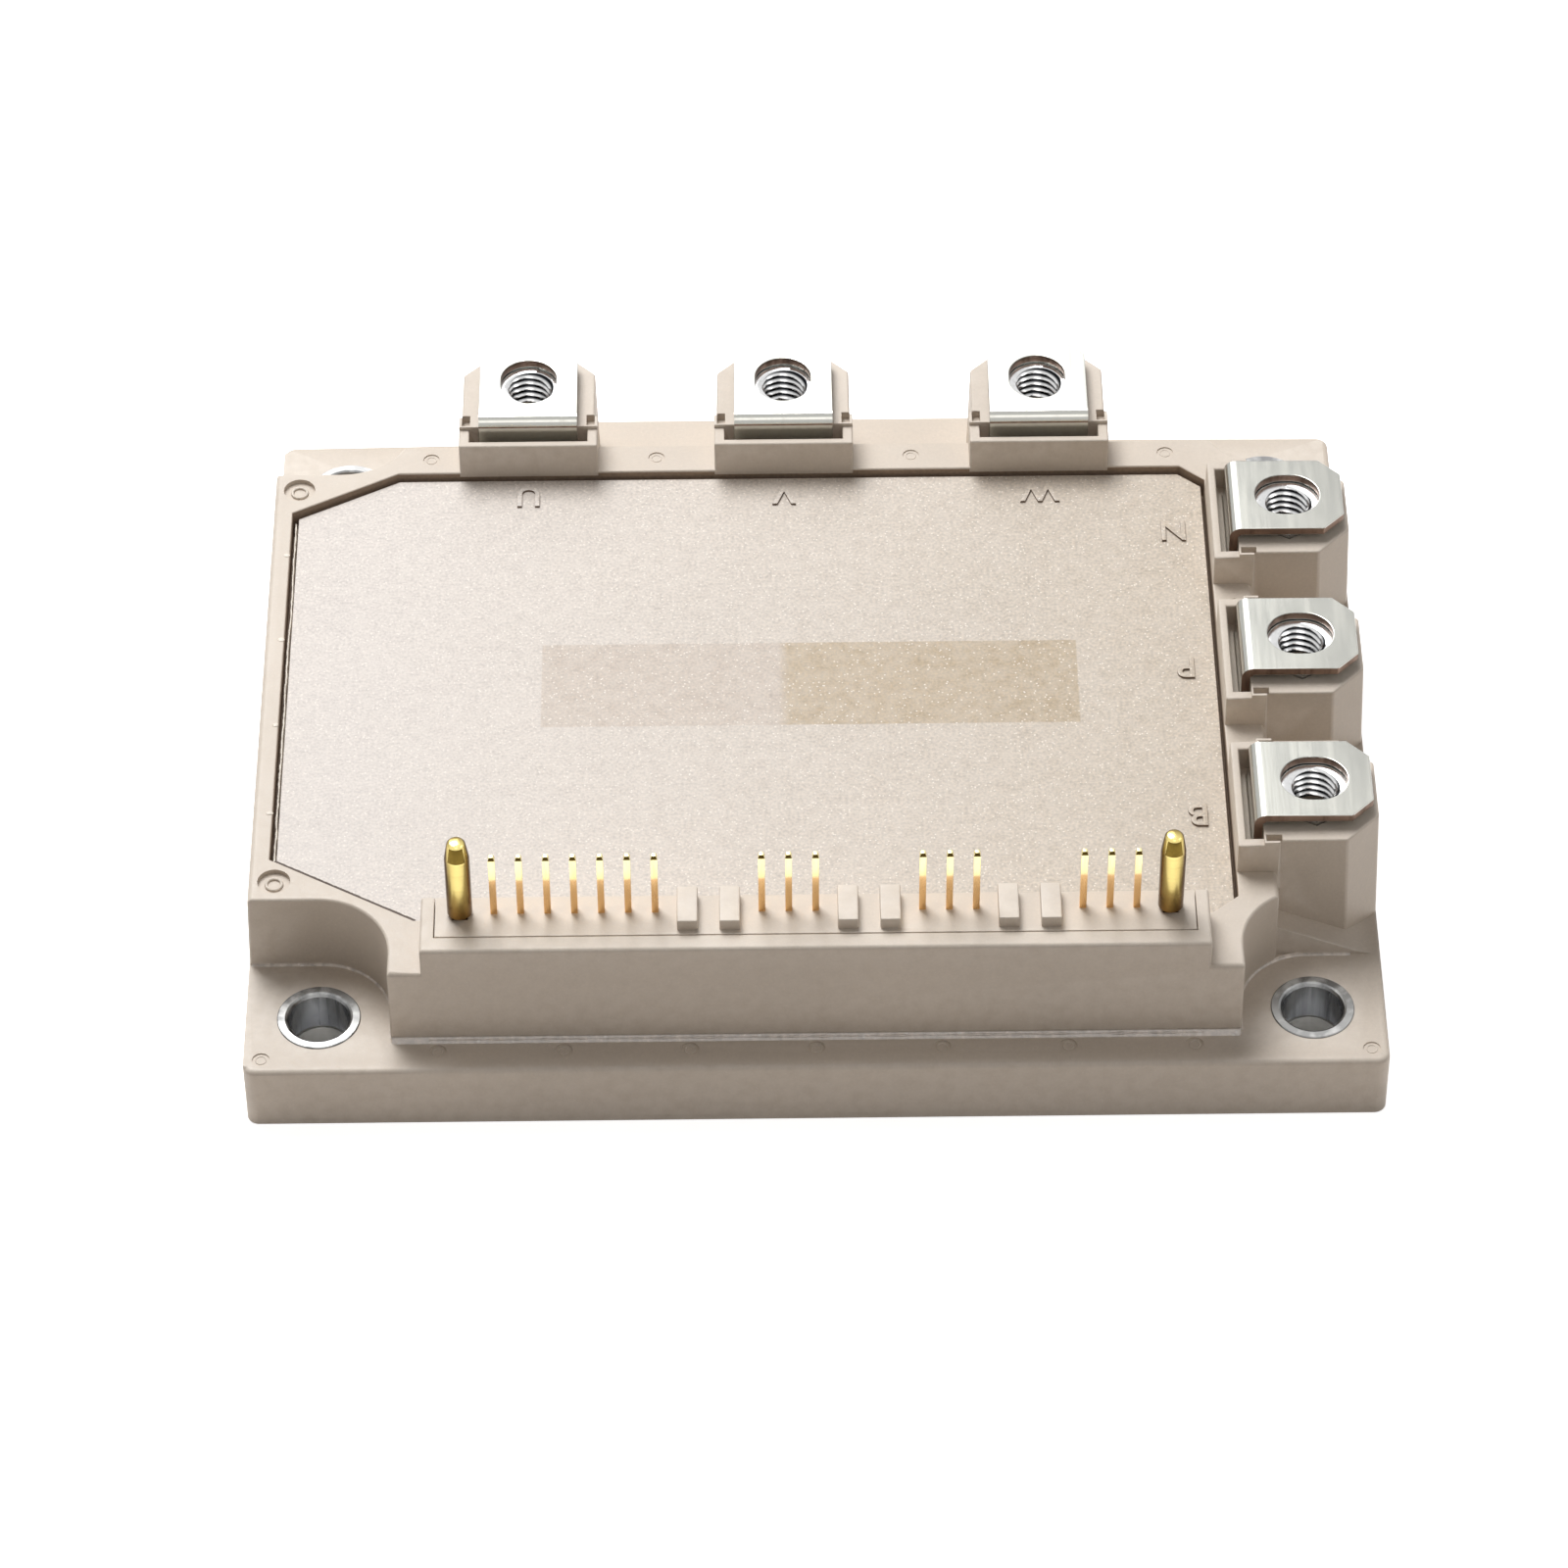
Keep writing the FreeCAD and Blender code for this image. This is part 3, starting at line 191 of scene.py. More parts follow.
class Wiring:
    """Adds nodes to one tree and joins them."""

    def __init__(self, tree: NodeTree) -> None:
        """Keeps the tree that the nodes go into."""
        self.tree = tree

    def node(self, kind: str, inputs: dict | None = None, **settings: object) -> Node:
        """Adds one node.

        Args:
            kind: Node's type in Blender.
            inputs: Values or sockets for its inputs, by name or index.
            settings: Properties of the node.

        Returns:
            The new node.
        """
        made = self.tree.nodes.new(kind)
        for name, value in settings.items():
            setattr(made, name, value)
        for key, value in (inputs or {}).items():
            self.feed(made.inputs[key], value)
        return made

    def feed(self, socket: NodeSocket, value: object) -> None:
        """Links a socket to another one, or sets its value.

        Args:
            socket: Input to feed.
            value: A socket or a plain value.
        """
        if isinstance(value, NodeSocket):
            self.tree.links.new(value, socket)
        else:
            socket.default_value = value

    def math(self, operation: str, first: object, second: object = 0.0) -> NodeSocket:
        """Result of one calculation with two numbers."""
        found = self.node("ShaderNodeMath", {0: first, 1: second}, operation=operation)
        return found.outputs[0]

    def span(self, value: object, source: Pair, target: Pair) -> NodeSocket:
        """A number moved from one range to another, held at its ends."""
        limits = {0: value, 1: source[0], 2: source[1], 3: target[0], 4: target[1]}
        return self.node("ShaderNodeMapRange", limits).outputs[0]

    def mix(self, share: object, first: object, second: object) -> NodeSocket:
        """Colour between two others."""
        made = self.node("ShaderNodeMix", {0: share, 6: first, 7: second}, data_type="RGBA")
        return made.outputs[2]

    def scaled(self, colour: object, factor: object) -> NodeSocket:
        """Colour times a number.

        Args:
            colour: The colour.
            factor: The number.

        Returns:
            The result's socket.
        """
        made = self.node("ShaderNodeVectorMath", {0: colour}, operation="SCALE")
        self.feed(made.inputs["Scale"], factor)
        return made.outputs[0]

    def noise(self, position: object, scale: object, detail: float = 2.0) -> NodeSocket:
        """Soft noise from 0 to 1 at a scale."""
        inputs = {"Vector": position, "Scale": scale, "Detail": detail}
        return self.node("ShaderNodeTexNoise", inputs).outputs[0]


def cleared(owner: Material | World) -> Wiring:
    """Empties the node tree of a material or a world.

    Args:
        owner: The material or the world.

    Returns:
        Wiring of its empty tree.
    """
    owner.use_nodes = True
    owner.node_tree.nodes.clear()
    return Wiring(owner.node_tree)


@dataclass(frozen=True)
class Port:
    """One named input or output of a node group."""

    name: str
    kind: Socket
    value: object = None

    def add_to(self, tree: NodeTree, side: str) -> bpy.types.NodeTreeInterfaceItem:
        """Args:
            tree: The node group.
            side: INPUT or OUTPUT.

        Returns:
            The socket's entry in the tree's interface.
        """
        made = tree.interface.new_socket(name=self.name, in_out=side, socket_type=self.kind.value)
        if self.value is not None:
            made.default_value = self.value
        return made


class Effect:
    """A shader node group that several materials share."""

    name = "Effect"
    takes: tuple[Port, ...] = ()
    gives: tuple[Port, ...] = ()

    def __init__(self) -> None:
        """Builds the group once."""
        self.tree = bpy.data.node_groups.new(self.name, "ShaderNodeTree")
        for port in self.takes:
            port.add_to(self.tree, "INPUT")
        for port in self.gives:
            port.add_to(self.tree, "OUTPUT")
        wiring = Wiring(self.tree)
        source = wiring.node("NodeGroupInput")
        target = wiring.node("NodeGroupOutput")
        self.wire(wiring, source.outputs, target)

    def wire(self, wiring: Wiring, given: object, target: Node) -> None:
        """Joins the nodes inside the group."""
        raise NotImplementedError

    def use(self, wiring: Wiring, **inputs: object) -> object:
        """Places the group in a material.

        Args:
            wiring: Wiring of the material.
            inputs: Values for the group's inputs, with underscores for spaces.

        Returns:
            The outputs of the placed group.
        """
        values = {name.replace("_", " "): value for name, value in inputs.items()}
        made = wiring.node("ShaderNodeGroup", node_tree=self.tree)
        for name, value in values.items():
            wiring.feed(made.inputs[name], value)
        return made.outputs


SURFACE_PORTS = (
    Port("Colour", Socket.COLOUR),
    Port("Rough Shift", Socket.FLOAT),
    Port("Relief", Socket.FLOAT),
)


class MouldedGrain(Effect):
    """Speckle and mottle of filled moulding compound, with tiny painted glints."""

    name = "Moulded Grain"
    takes = (
        Port("Position", Socket.VECTOR),
        Port("Tint", Socket.COLOUR, (0.6, 0.5, 0.4, 1.0)),
        Port("Pale", Socket.COLOUR, (0.9, 0.85, 0.8, 1.0)),
        Port("Speckle Scale", Socket.FLOAT, 3000.0),
        Port("Speckle Depth", Socket.FLOAT, 0.05),
        Port("Mottle Scale", Socket.FLOAT, 60.0),
        Port("Mottle Depth", Socket.FLOAT, 0.04),
        Port("Glint", Socket.FLOAT, 0.3),
    )
    gives = SURFACE_PORTS
    SWING = (-1.0, 1.0)
    CELL_SHARE = 0.62
    DOT_BAND = (0.12, 0.22)
    FINE_RELIEF = 0.7
    BROAD_RELIEF = 0.3

    def wire(self, wiring: Wiring, given: object, target: Node) -> None:
        """Fine grain times broad mottle, with pale painted glints where cells are small.

        Args:
            wiring: Wiring of the group.
            given: Its inputs.
            target: Its output node.
        """
        place = given["Position"]
        fine = wiring.noise(place, given["Speckle Scale"], detail=3.0)
        broad = wiring.noise(place, given["Mottle Scale"], detail=4.0)
        fine_step = wiring.span(fine, NOISE_BAND, self.SWING)
        broad_step = wiring.span(broad, NOISE_BAND, self.SWING)
        fine_part = wiring.math("MULTIPLY", fine_step, given["Speckle Depth"])
        broad_part = wiring.math("MULTIPLY", broad_step, given["Mottle Depth"])
        factor = wiring.math("ADD", wiring.math("ADD", fine_part, broad_part), 1.0)
        grained = wiring.scaled(given["Tint"], factor)
        # pale dots mixed into the colour where cells are small: painted glints
        cell_scale = wiring.math("MULTIPLY", given["Speckle Scale"], self.CELL_SHARE)
        cells = wiring.node("ShaderNodeTexVoronoi", {"Vector": place, "Scale": cell_scale})
        dots = wiring.span(cells.outputs[0], self.DOT_BAND, (1.0, 0.0))
        glints = wiring.math("MULTIPLY", dots, given["Glint"])
        colour = wiring.mix(glints, grained, given["Pale"])
        fine_relief = wiring.math("MULTIPLY", fine, self.FINE_RELIEF)
        broad_relief = wiring.math("MULTIPLY", broad, self.BROAD_RELIEF)
        relief = wiring.math("ADD", fine_relief, broad_relief)
        wiring.feed(target.inputs["Colour"], colour)
        wiring.feed(target.inputs["Rough Shift"], fine_step)
        wiring.feed(target.inputs["Relief"], relief)


class DrawnStreaks(Effect):
    """Fine lines and soft clouds that rolling, plating or turning leaves on metal."""

    name = "Drawn Streaks"
    takes = (
        Port("Position", Socket.VECTOR),
        Port("Stretch", Socket.VECTOR, (1.0, 1.0, 1.0)),
        Port("Tint", Socket.COLOUR, (0.8, 0.8, 0.8, 1.0)),
        Port("Shade", Socket.COLOUR, (0.5, 0.5, 0.5, 1.0)),
        Port("Scale", Socket.FLOAT, 1500.0),
        Port("Depth", Socket.FLOAT, 0.3),
    )
    gives = SURFACE_PORTS
    LINE_BAND = (0.42, 0.72)
    CLOUD_SHARE = 0.12
    CLOUD_BAND = (0.4, 0.7)
    CLOUD_REACH = (0.0, 0.6)

    def wire(self, wiring: Wiring, given: object, target: Node) -> None:
        """Stretched noise over cloudy noise.

        Args:
            wiring: Wiring of the group.
            given: Its inputs.
            target: Its output node.
        """
        stretched = wiring.node(
            "ShaderNodeVectorMath", {0: given["Position"], 1: given["Stretch"]},
            operation="MULTIPLY",
        ).outputs[0]
        lines = wiring.noise(stretched, given["Scale"], detail=4.0)
        cloud_scale = wiring.math("MULTIPLY", given["Scale"], self.CLOUD_SHARE)
        clouds = wiring.noise(given["Position"], cloud_scale, detail=3.0)
        lines_share = wiring.span(lines, self.LINE_BAND, UNIT)
        clouds_share = wiring.span(clouds, self.CLOUD_BAND, self.CLOUD_REACH)
        both = wiring.math("MAXIMUM", lines_share, clouds_share)
        share = wiring.math("MULTIPLY", both, given["Depth"])
        wiring.feed(target.inputs["Colour"], wiring.mix(share, given["Tint"], given["Shade"]))
        wiring.feed(target.inputs["Rough Shift"], both)
        wiring.feed(target.inputs["Relief"], lines)


class EdgeHighlight(Effect):
    """Paler colour on convex edges: a painted edge highlight."""

    name = "Painted Edge Highlight"
    takes = (
        Port("Position", Socket.VECTOR),
        Port("Colour", Socket.COLOUR, (0.6, 0.5, 0.4, 1.0)),
        Port("Pale", Socket.COLOUR, (0.9, 0.85, 0.8, 1.0)),
        Port("Amount", Socket.FLOAT, 0.4),
    )
    gives = (Port("Colour", Socket.COLOUR),)
    CONVEX_BAND = (0.5, 0.58)
    BREAK_SCALE = 700.0
    BREAK_BAND = (0.3, 0.6)
    BREAK_REACH = (0.3, 1.0)

    def wire(self, wiring: Wiring, given: object, target: Node) -> None:
        """Convex places, broken up by noise.

        Args:
            wiring: Wiring of the group.
            given: Its inputs.
            target: Its output node.
        """
        shape = wiring.node("ShaderNodeNewGeometry")
        convex = wiring.span(shape.outputs["Pointiness"], self.CONVEX_BAND, UNIT)
        noise = wiring.noise(given["Position"], self.BREAK_SCALE, detail=3.0)
        broken = wiring.span(noise, self.BREAK_BAND, self.BREAK_REACH)
        # painted highlight: the convex-edge mask mixes in the paler colour
        mask = wiring.math("MULTIPLY", wiring.math("MULTIPLY", convex, broken), given["Amount"])
        wiring.feed(target.inputs["Colour"], wiring.mix(mask, given["Colour"], given["Pale"]))


class SettledDust(Effect):
    """Thin grey film on faces that look up."""

    name = "Settled Dust"
    takes = (
        Port("Position", Socket.VECTOR),
        Port("Colour", Socket.COLOUR, (0.6, 0.5, 0.4, 1.0)),
        Port("Dust", Socket.COLOUR, (0.7, 0.68, 0.64, 1.0)),
        Port("Amount", Socket.FLOAT, 0.1),
    )
    gives = (Port("Colour", Socket.COLOUR),)
    UPWARD_BAND = (0.4, 1.0)
    PATCH_SCALE = 120.0
    PATCH_BAND = (0.35, 0.75)

    def wire(self, wiring: Wiring, given: object, target: Node) -> None:
        """Upward faces times soft patches.

        Args:
            wiring: Wiring of the group.
            given: Its inputs.
            target: Its output node.
        """
        shape = wiring.node("ShaderNodeNewGeometry")
        parts = wiring.node("ShaderNodeSeparateXYZ", {0: shape.outputs["Normal"]})
        upward = wiring.span(parts.outputs[2], self.UPWARD_BAND, UNIT)
        noise = wiring.noise(given["Position"], self.PATCH_SCALE, detail=5.0)
        patches = wiring.span(noise, self.PATCH_BAND, UNIT)
        mask = wiring.math("MULTIPLY", wiring.math("MULTIPLY", upward, patches), given["Amount"])
        wiring.feed(target.inputs["Colour"], wiring.mix(mask, given["Colour"], given["Dust"]))


@dataclass(frozen=True)
class Effects:
    """The shared groups, each built once."""

    grain: MouldedGrain
    streaks: DrawnStreaks
    edge_highlight: EdgeHighlight
    dust: SettledDust

    @classmethod
    def build(cls) -> "Effects":
        """Makes all four groups."""
        return cls(MouldedGrain(), DrawnStreaks(), EdgeHighlight(), SettledDust())


# Finishes


@dataclass(frozen=True)
class Finish:
    """Common part of every finish: a name, and one Principled shader."""

    name: str

    def sheet(self) -> tuple[Material, Wiring, Node, NodeSocket]:
        """Starts an empty material.

        Returns:
            The material, its wiring, its Principled node and the object coordinates.
        """
        material = bpy.data.materials.new(self.name)
        wiring = cleared(material)
        shader = wiring.node("ShaderNodeBsdfPrincipled")
        output = wiring.node("ShaderNodeOutputMaterial")
        wiring.feed(output.inputs["Surface"], shader.outputs[0])
        position = wiring.node("ShaderNodeTexCoord").outputs["Object"]
        return material, wiring, shader, position

    @staticmethod
    def raise_relief(wiring: Wiring, shader: Node, height: object, depth: float) -> None:
        """Feeds a relief of a depth in millimetres into the shader's normal."""
        bump = wiring.node("ShaderNodeBump", {"Height": height, "Distance": depth * MM})
        wiring.feed(shader.inputs["Normal"], bump.outputs[0])


@dataclass(frozen=True)
class MouldedPlastic(Finish):
    """Filled thermoset or thermoplastic with a fine grain."""

    tint: tuple
    pale: tuple
    roughness: float = 0.55
    rough_swing: float = 0.08
    speckle_scale: float = 3200.0
    speckle_depth: float = 0.05
    mottle_scale: float = 70.0
    mottle_depth: float = 0.03
    glint: float = 0.2
    relief: float = 0.02
    edge_highlight: float = 0.35
    dust: float = 0.12
    dust_tone: tuple = tone(216, 208, 200)
    specular: float = 0.5

    def tinted(self, wiring: Wiring, position: NodeSocket) -> object:
        """Colour that the grain starts from."""
        return self.tint

    def make(self, effects: Effects) -> Material:
        """Builds the material from the shared effects.

        Args:
            effects: The shared groups.

        Returns:
            The material.
        """
        material, wiring, shader, position = self.sheet()
        grain = effects.grain.use(
            wiring, Position=position, Tint=self.tinted(wiring, position), Pale=self.pale,
            Speckle_Scale=self.speckle_scale, Speckle_Depth=self.speckle_depth,
            Mottle_Scale=self.mottle_scale, Mottle_Depth=self.mottle_depth, Glint=self.glint,
        )
        # paler convex edges: painted edge highlight
        edge_lit = effects.edge_highlight.use(
            wiring, Position=position, Colour=grain["Colour"], Pale=self.pale, Amount=self.edge_highlight
        )
        dusty = effects.dust.use(
            wiring, Position=position, Colour=edge_lit["Colour"], Dust=self.dust_tone,
            Amount=self.dust,
        )
        shift = wiring.math("MULTIPLY", grain["Rough Shift"], self.rough_swing)
        wiring.feed(shader.inputs["Base Color"], dusty["Colour"])
        wiring.feed(shader.inputs["Roughness"], wiring.math("ADD", shift, self.roughness))
        shader.inputs["Specular IOR Level"].default_value = self.specular
        self.raise_relief(wiring, shader, grain["Relief"], self.relief)
        return material


@dataclass(frozen=True)
class LidPlastic(MouldedPlastic):
    """Lid compound with a painted sheen that makes it paler and cooler at its left, and a bare
    field of a plainer, warmer tone.
    """

    right_tint_without_sheen: tuple = tone(180, 166, 148)
    sheen_fade: Pair = (-46.0, 40.0)
    field_low: Pair = (-26.6, -6.2)
    field_high: Pair = (26.4, 5.35)
    field_tone: tuple = tone(176, 162, 149)
    field_right_tone: tuple = tone(162, 142, 112)
    field_change: Pair = (-3.2, -2.2)
    field_edge: float = 0.06

    def tinted(self, wiring: Wiring, position: NodeSocket) -> NodeSocket:
        """Fades the painted sheen from left to right, and mixes the field's tones in between its
        borders.

        Args:
            wiring: Wiring of the material.
            position: Object coordinates.

        Returns:
            The colour's socket.
        """
        parts = wiring.node("ShaderNodeSeparateXYZ", {0: position}).outputs
        # painted sheen: paler, cooler tint at the left fading to the darker, warmer right tint
        sheen_fade = wiring.span(parts[0], tuple(x * MM for x in self.sheen_fade), UNIT)
        plain = wiring.mix(sheen_fade, self.tint, self.right_tint_without_sheen)
        change = wiring.span(parts[0], tuple(x * MM for x in self.field_change), UNIT)
        field = wiring.mix(change, self.field_tone, self.field_right_tone)
        edge = self.field_edge * MM
        share: object = 1.0
        for axis in (0, 1):
            low, high = self.field_low[axis] * MM, self.field_high[axis] * MM
            above = wiring.span(parts[axis], (low - edge, low + edge), UNIT)
            below = wiring.span(parts[axis], (high - edge, high + edge), (1.0, 0.0))
            share = wiring.math("MULTIPLY", share, wiring.math("MULTIPLY", above, below))
        return wiring.mix(share, plain, field)


@dataclass(frozen=True)
class Metal(Finish):
    """Plated or bare metal with streaks along one direction."""

    tint: tuple
    shade: tuple
    roughness: float = 0.25
    rough_swing: float = 0.1
    stretch: Triple = (1.0, 1.0, 1.0)
    scale: float = 1500.0
    depth: float = 0.3
    relief: float = 0.004
    edge_highlight: float = 0.3
    metallic: float = 1.0
    flank_reflection_tone: tuple | None = None
    flank: Pair = (0.3, 0.85)
    thread_shade_tone: tuple | None = None
    thread_shade_band: Pair = (0.3, 0.7)

    def toned(self, wiring: Wiring, colour: object, position: object) -> object:
        """Painted dark reflection on flanks that turn away from the view, and painted shade in
        the thread grooves.

        Args:
            wiring: Wiring of the material.
            colour: Colour of the plating.
            position: Object coordinates.

        Returns:
            The colour, or the socket of the mixed one.
        """
        if self.flank_reflection_tone is not None:
            # painted dark reflection on flanks turned away from the view
            facing = wiring.node("ShaderNodeLayerWeight").outputs["Facing"]
            share = wiring.span(facing, self.flank, UNIT)
            colour = wiring.mix(share, colour, self.flank_reflection_tone)
        if self.thread_shade_tone is not None:
            # painted shade in the thread grooves
            groove = wiring.node("ShaderNodeAttribute", attribute_name=GROOVE).outputs["Fac"]
            share = wiring.span(groove, self.thread_shade_band, UNIT)
            colour = wiring.mix(share, colour, self.thread_shade_tone)
        return colour

    def make(self, effects: Effects) -> Material:
        """Builds the material from the shared effects.

        Args:
            effects: The shared groups.

        Returns:
            The material.
        """
        material, wiring, shader, position = self.sheet()
        streaks = effects.streaks.use(
            wiring, Position=position, Stretch=self.stretch, Tint=self.tint, Shade=self.shade,
            Scale=self.scale, Depth=self.depth,
        )
        # paler convex edges: painted edge highlight
        edge_lit = effects.edge_highlight.use(
            wiring, Position=position, Colour=streaks["Colour"], Pale=self.tint, Amount=self.edge_highlight
        )
        shift = wiring.math("MULTIPLY", streaks["Rough Shift"], self.rough_swing)
        wiring.feed(shader.inputs["Base Color"], self.toned(wiring, edge_lit["Colour"], position))
        wiring.feed(shader.inputs["Roughness"], wiring.math("ADD", shift, self.roughness))
        shader.inputs["Metallic"].default_value = self.metallic
        self.raise_relief(wiring, shader, streaks["Relief"], self.relief)
        return material


@dataclass(frozen=True)
class LowerReflectionMetal(Metal):
    """Metal with a lower tone below a height above the case: a painted reflection of the surfaces
    below.
    """

    lower_reflection_tone: tuple = tone(240, 192, 136)
    change: Pair = (23.9, 24.2)
    lower_reflection_share: float = 0.85
    ripple: float = 0.1
    ripple_scale: float = 900.0

    def toned(self, wiring: Wiring, colour: object, position: object) -> NodeSocket:
        """Mixes the lower tone, a painted reflection, in below the change, along an uneven line.

        Args:
            wiring: Wiring of the material.
            colour: Colour of the plating.
            position: Object coordinates.

        Returns:
            The colour's socket.
        """
        height = wiring.node("ShaderNodeSeparateXYZ", {0: position}).outputs[2]
        reach = self.ripple * MM
        noise = wiring.noise(position, self.ripple_scale, detail=2.0)
        ripple = wiring.span(noise, NOISE_BAND, (-reach, reach))
        uneven = wiring.math("ADD", height, ripple)
        # painted reflection: the lower tone below the change
        low, high = (level * MM for level in self.change)
        share = wiring.span(uneven, (low, high), (self.lower_reflection_share, 0.0))
        with_reflection = wiring.mix(share, colour, self.lower_reflection_tone)
        return super().toned(wiring, with_reflection, position)


@dataclass(frozen=True)
class ClearGel(Finish):
    """Soft clear filling with a faint haze."""

    tint: tuple
    roughness: float = 0.12
    haze: float = 0.08
    haze_scale: float = 90.0
    clearness: float = 0.85
    refraction: float = 1.41

    def make(self, effects: Effects) -> Material:
        """Builds the clear material.

        Args:
            effects: The shared groups.

        Returns:
            The material.
        """
        material, wiring, shader, position = self.sheet()
        noise = wiring.noise(position, self.haze_scale, detail=3.0)
        haze = wiring.span(noise, NOISE_BAND, UNIT)
        grain = effects.grain.use(
            wiring, Position=position, Tint=self.tint, Pale=self.tint, Speckle_Scale=900.0,
            Speckle_Depth=0.02, Mottle_Scale=80.0, Mottle_Depth=0.04, Glint=0.0,
        )
        wiring.feed(shader.inputs["Base Color"], grain["Colour"])
        rough = wiring.math("ADD", wiring.math("MULTIPLY", haze, self.haze), self.roughness)
        wiring.feed(shader.inputs["Roughness"], rough)
        shader.inputs["Transmission Weight"].default_value = self.clearness
        shader.inputs["IOR"].default_value = self.refraction
        return material


class FinishBook:
    """All finishes of the module, built on first use."""

    def __init__(self) -> None:
        """Makes the shared effects and lists the finishes."""
        self.effects = Effects.build()
        self.made: dict[str, Material] = {}
        pale = tone(238, 230, 220)
        self.finishes: dict[str, Finish] = {
            "case": MouldedPlastic("case_compound", tone(201, 189, 175), pale, roughness=0.5,
                                   speckle_depth=0.035, glint=0.1, relief=0.018),
            "lid": LidPlastic("lid_compound", tone(195, 187, 181), pale, roughness=0.47,
                              speckle_depth=0.26, mottle_depth=0.02, glint=0.8, relief=0.03,
                              edge_highlight=0.3),
            "holder": MouldedPlastic("holder_compound", tone(206, 194, 180), pale,
                                     roughness=0.5, speckle_depth=0.03, glint=0.1, edge_highlight=0.4),
            # darker finish for the groove walls: painted shade
            "groove_shade": MouldedPlastic("painted_groove_shade", tone(140, 120, 102), tone(150, 134, 118),
                                   roughness=0.7, speckle_depth=0.15, glint=0.05, edge_highlight=0.1,
                                   dust=0.0),
            # dark finish for the front bead: painted shade line
            "painted_shade_bead": MouldedPlastic("painted_shade_bead", tone(66, 52, 42), tone(110, 94, 80),
                                        roughness=0.6, speckle_depth=0.15, glint=0.05,
                                        edge_highlight=0.1, dust=0.0),
            # darker finish for the letters' sides: painted shade
            "letter_side_painted_shade": MouldedPlastic("letter_side_painted_shade", tone(112, 94, 80), tone(140, 120, 104),
                                          roughness=0.6, glint=0.05, edge_highlight=0.0, dust=0.0),
            # paler than the case and glossy: a real gloss with a painted highlight
            "highlight_flash": MouldedPlastic("foot_highlight_flash", tone(222, 212, 202), tone(250, 246, 240),
                                    roughness=0.2, rough_swing=0.1, speckle_depth=0.2,
                                    speckle_scale=1400.0, glint=0.6, specular=0.9,
                                    relief=0.05, edge_highlight=0.0, dust=0.0),
            "sealant": MouldedPlastic("sealant_bead", tone(222, 212, 198), pale, roughness=0.4,
                                      speckle_depth=0.1, glint=0.3, edge_highlight=0.2),
            "tin": Metal("tin_plate", tone(184, 184, 178), tone(162, 158, 148), roughness=0.12,
                         stretch=(1.0, 0.06, 1.0), scale=1400.0, depth=0.25),
            # dark cut-edge finish: bare cut metal with painted shade
            "tin_edge_and_shade": Metal("tin_cut_edge_and_shade", tone(128, 106, 92), tone(60, 46, 38),
                              roughness=0.4, stretch=(1.0, 1.0, 0.2), depth=0.8),
            # dark thread grooves of the zinc nut: painted shade
            "zinc": Metal("zinc_plate", tone(226, 226, 226), tone(150, 150, 150),
                          roughness=0.16, scale=2200.0, depth=0.35,
                          thread_shade_tone=tone(24, 26, 30)),
            "nickel": Metal("nickel_sleeve", tone(112, 112, 112), tone(186, 186, 184),
                            roughness=0.3, scale=900.0, depth=0.8),
            "bore": Metal("sleeve_bore", tone(176, 178, 182), tone(92, 92, 96), roughness=0.2,
                          stretch=(1.0, 1.0, 0.05), depth=0.9),
            "base": Metal("nickel_base", tone(205, 203, 198), tone(160, 157, 150),
                          roughness=0.34, stretch=(0.04, 1.0, 1.0), scale=1300.0, depth=0.4),
            # lower tone of the pins: painted reflection of the connector's top
            "gold": LowerReflectionMetal("pale_gold", tone(255, 246, 186), tone(236, 206, 130),
                                    roughness=0.22, stretch=(1.0, 1.0, 0.1), scale=2600.0),
            # dark tip faces: painted reflection
            "gold_shade": Metal("gold_tip_painted_reflection", tone(78, 62, 26), tone(30, 24, 12),
                                roughness=0.3, depth=0.4),
            # lower tone of the guide pins: painted reflection of the connector's top
            "brass": LowerReflectionMetal("turned_brass", tone(252, 232, 150), tone(214, 178, 92),
                                     roughness=0.18, stretch=(0.1, 0.1, 1.0), scale=2400.0,
                                     lower_reflection_tone=tone(146, 102, 48), change=(20.0, 23.8),
                                     ripple=0.4, flank_reflection_tone=tone(92, 66, 24),
                                     flank=(0.12, 0.62)),
            # dark nose faces: painted reflection
            "brass_shade": Metal("brass_nose_painted_reflection", tone(112, 92, 40), tone(60, 48, 20),
                                 roughness=0.25, depth=0.4),
            "board": MouldedPlastic("board_lacquer", tone(46, 112, 72), tone(120, 160, 120),
                                    roughness=0.3, speckle_depth=0.08, mottle_scale=400.0,
                                    mottle_depth=0.1, glint=0.0, dust=0.05),
            "package": MouldedPlastic("package_compound", tone(38, 38, 40), tone(90, 90, 92),
                                      roughness=0.6, glint=0.1, dust=0.1),
            "ceramic": MouldedPlastic("white_ceramic", tone(240, 239, 234),
                                      tone(250, 250, 248), roughness=0.35, speckle_depth=0.03,
                                      glint=0.0, dust=0.0),
            "copper": Metal("bare_copper", tone(224, 160, 122), tone(160, 92, 66),
                            roughness=0.3, stretch=(0.1, 1.0, 1.0), depth=0.4),
            "chip": Metal("chip_silicon", tone(150, 154, 162), tone(96, 98, 106),
                          roughness=0.14, depth=0.2, metallic=0.6),
            "wire": Metal("aluminium_wire", tone(228, 228, 232), tone(170, 170, 176),
                          roughness=0.22, depth=0.2),
            "gel": ClearGel("clear_gel", tone(238, 240, 236)),
        }

    def get(self, name: str) -> Material:
        """Material of one finish, made the first time it is asked for.

        Args:
            name: Name of the finish in the book.

        Returns:
            The material.
        """
        if name not in self.made:
            self.made[name] = self.finishes[name].make(self.effects)
        return self.made[name]


# Mesh work


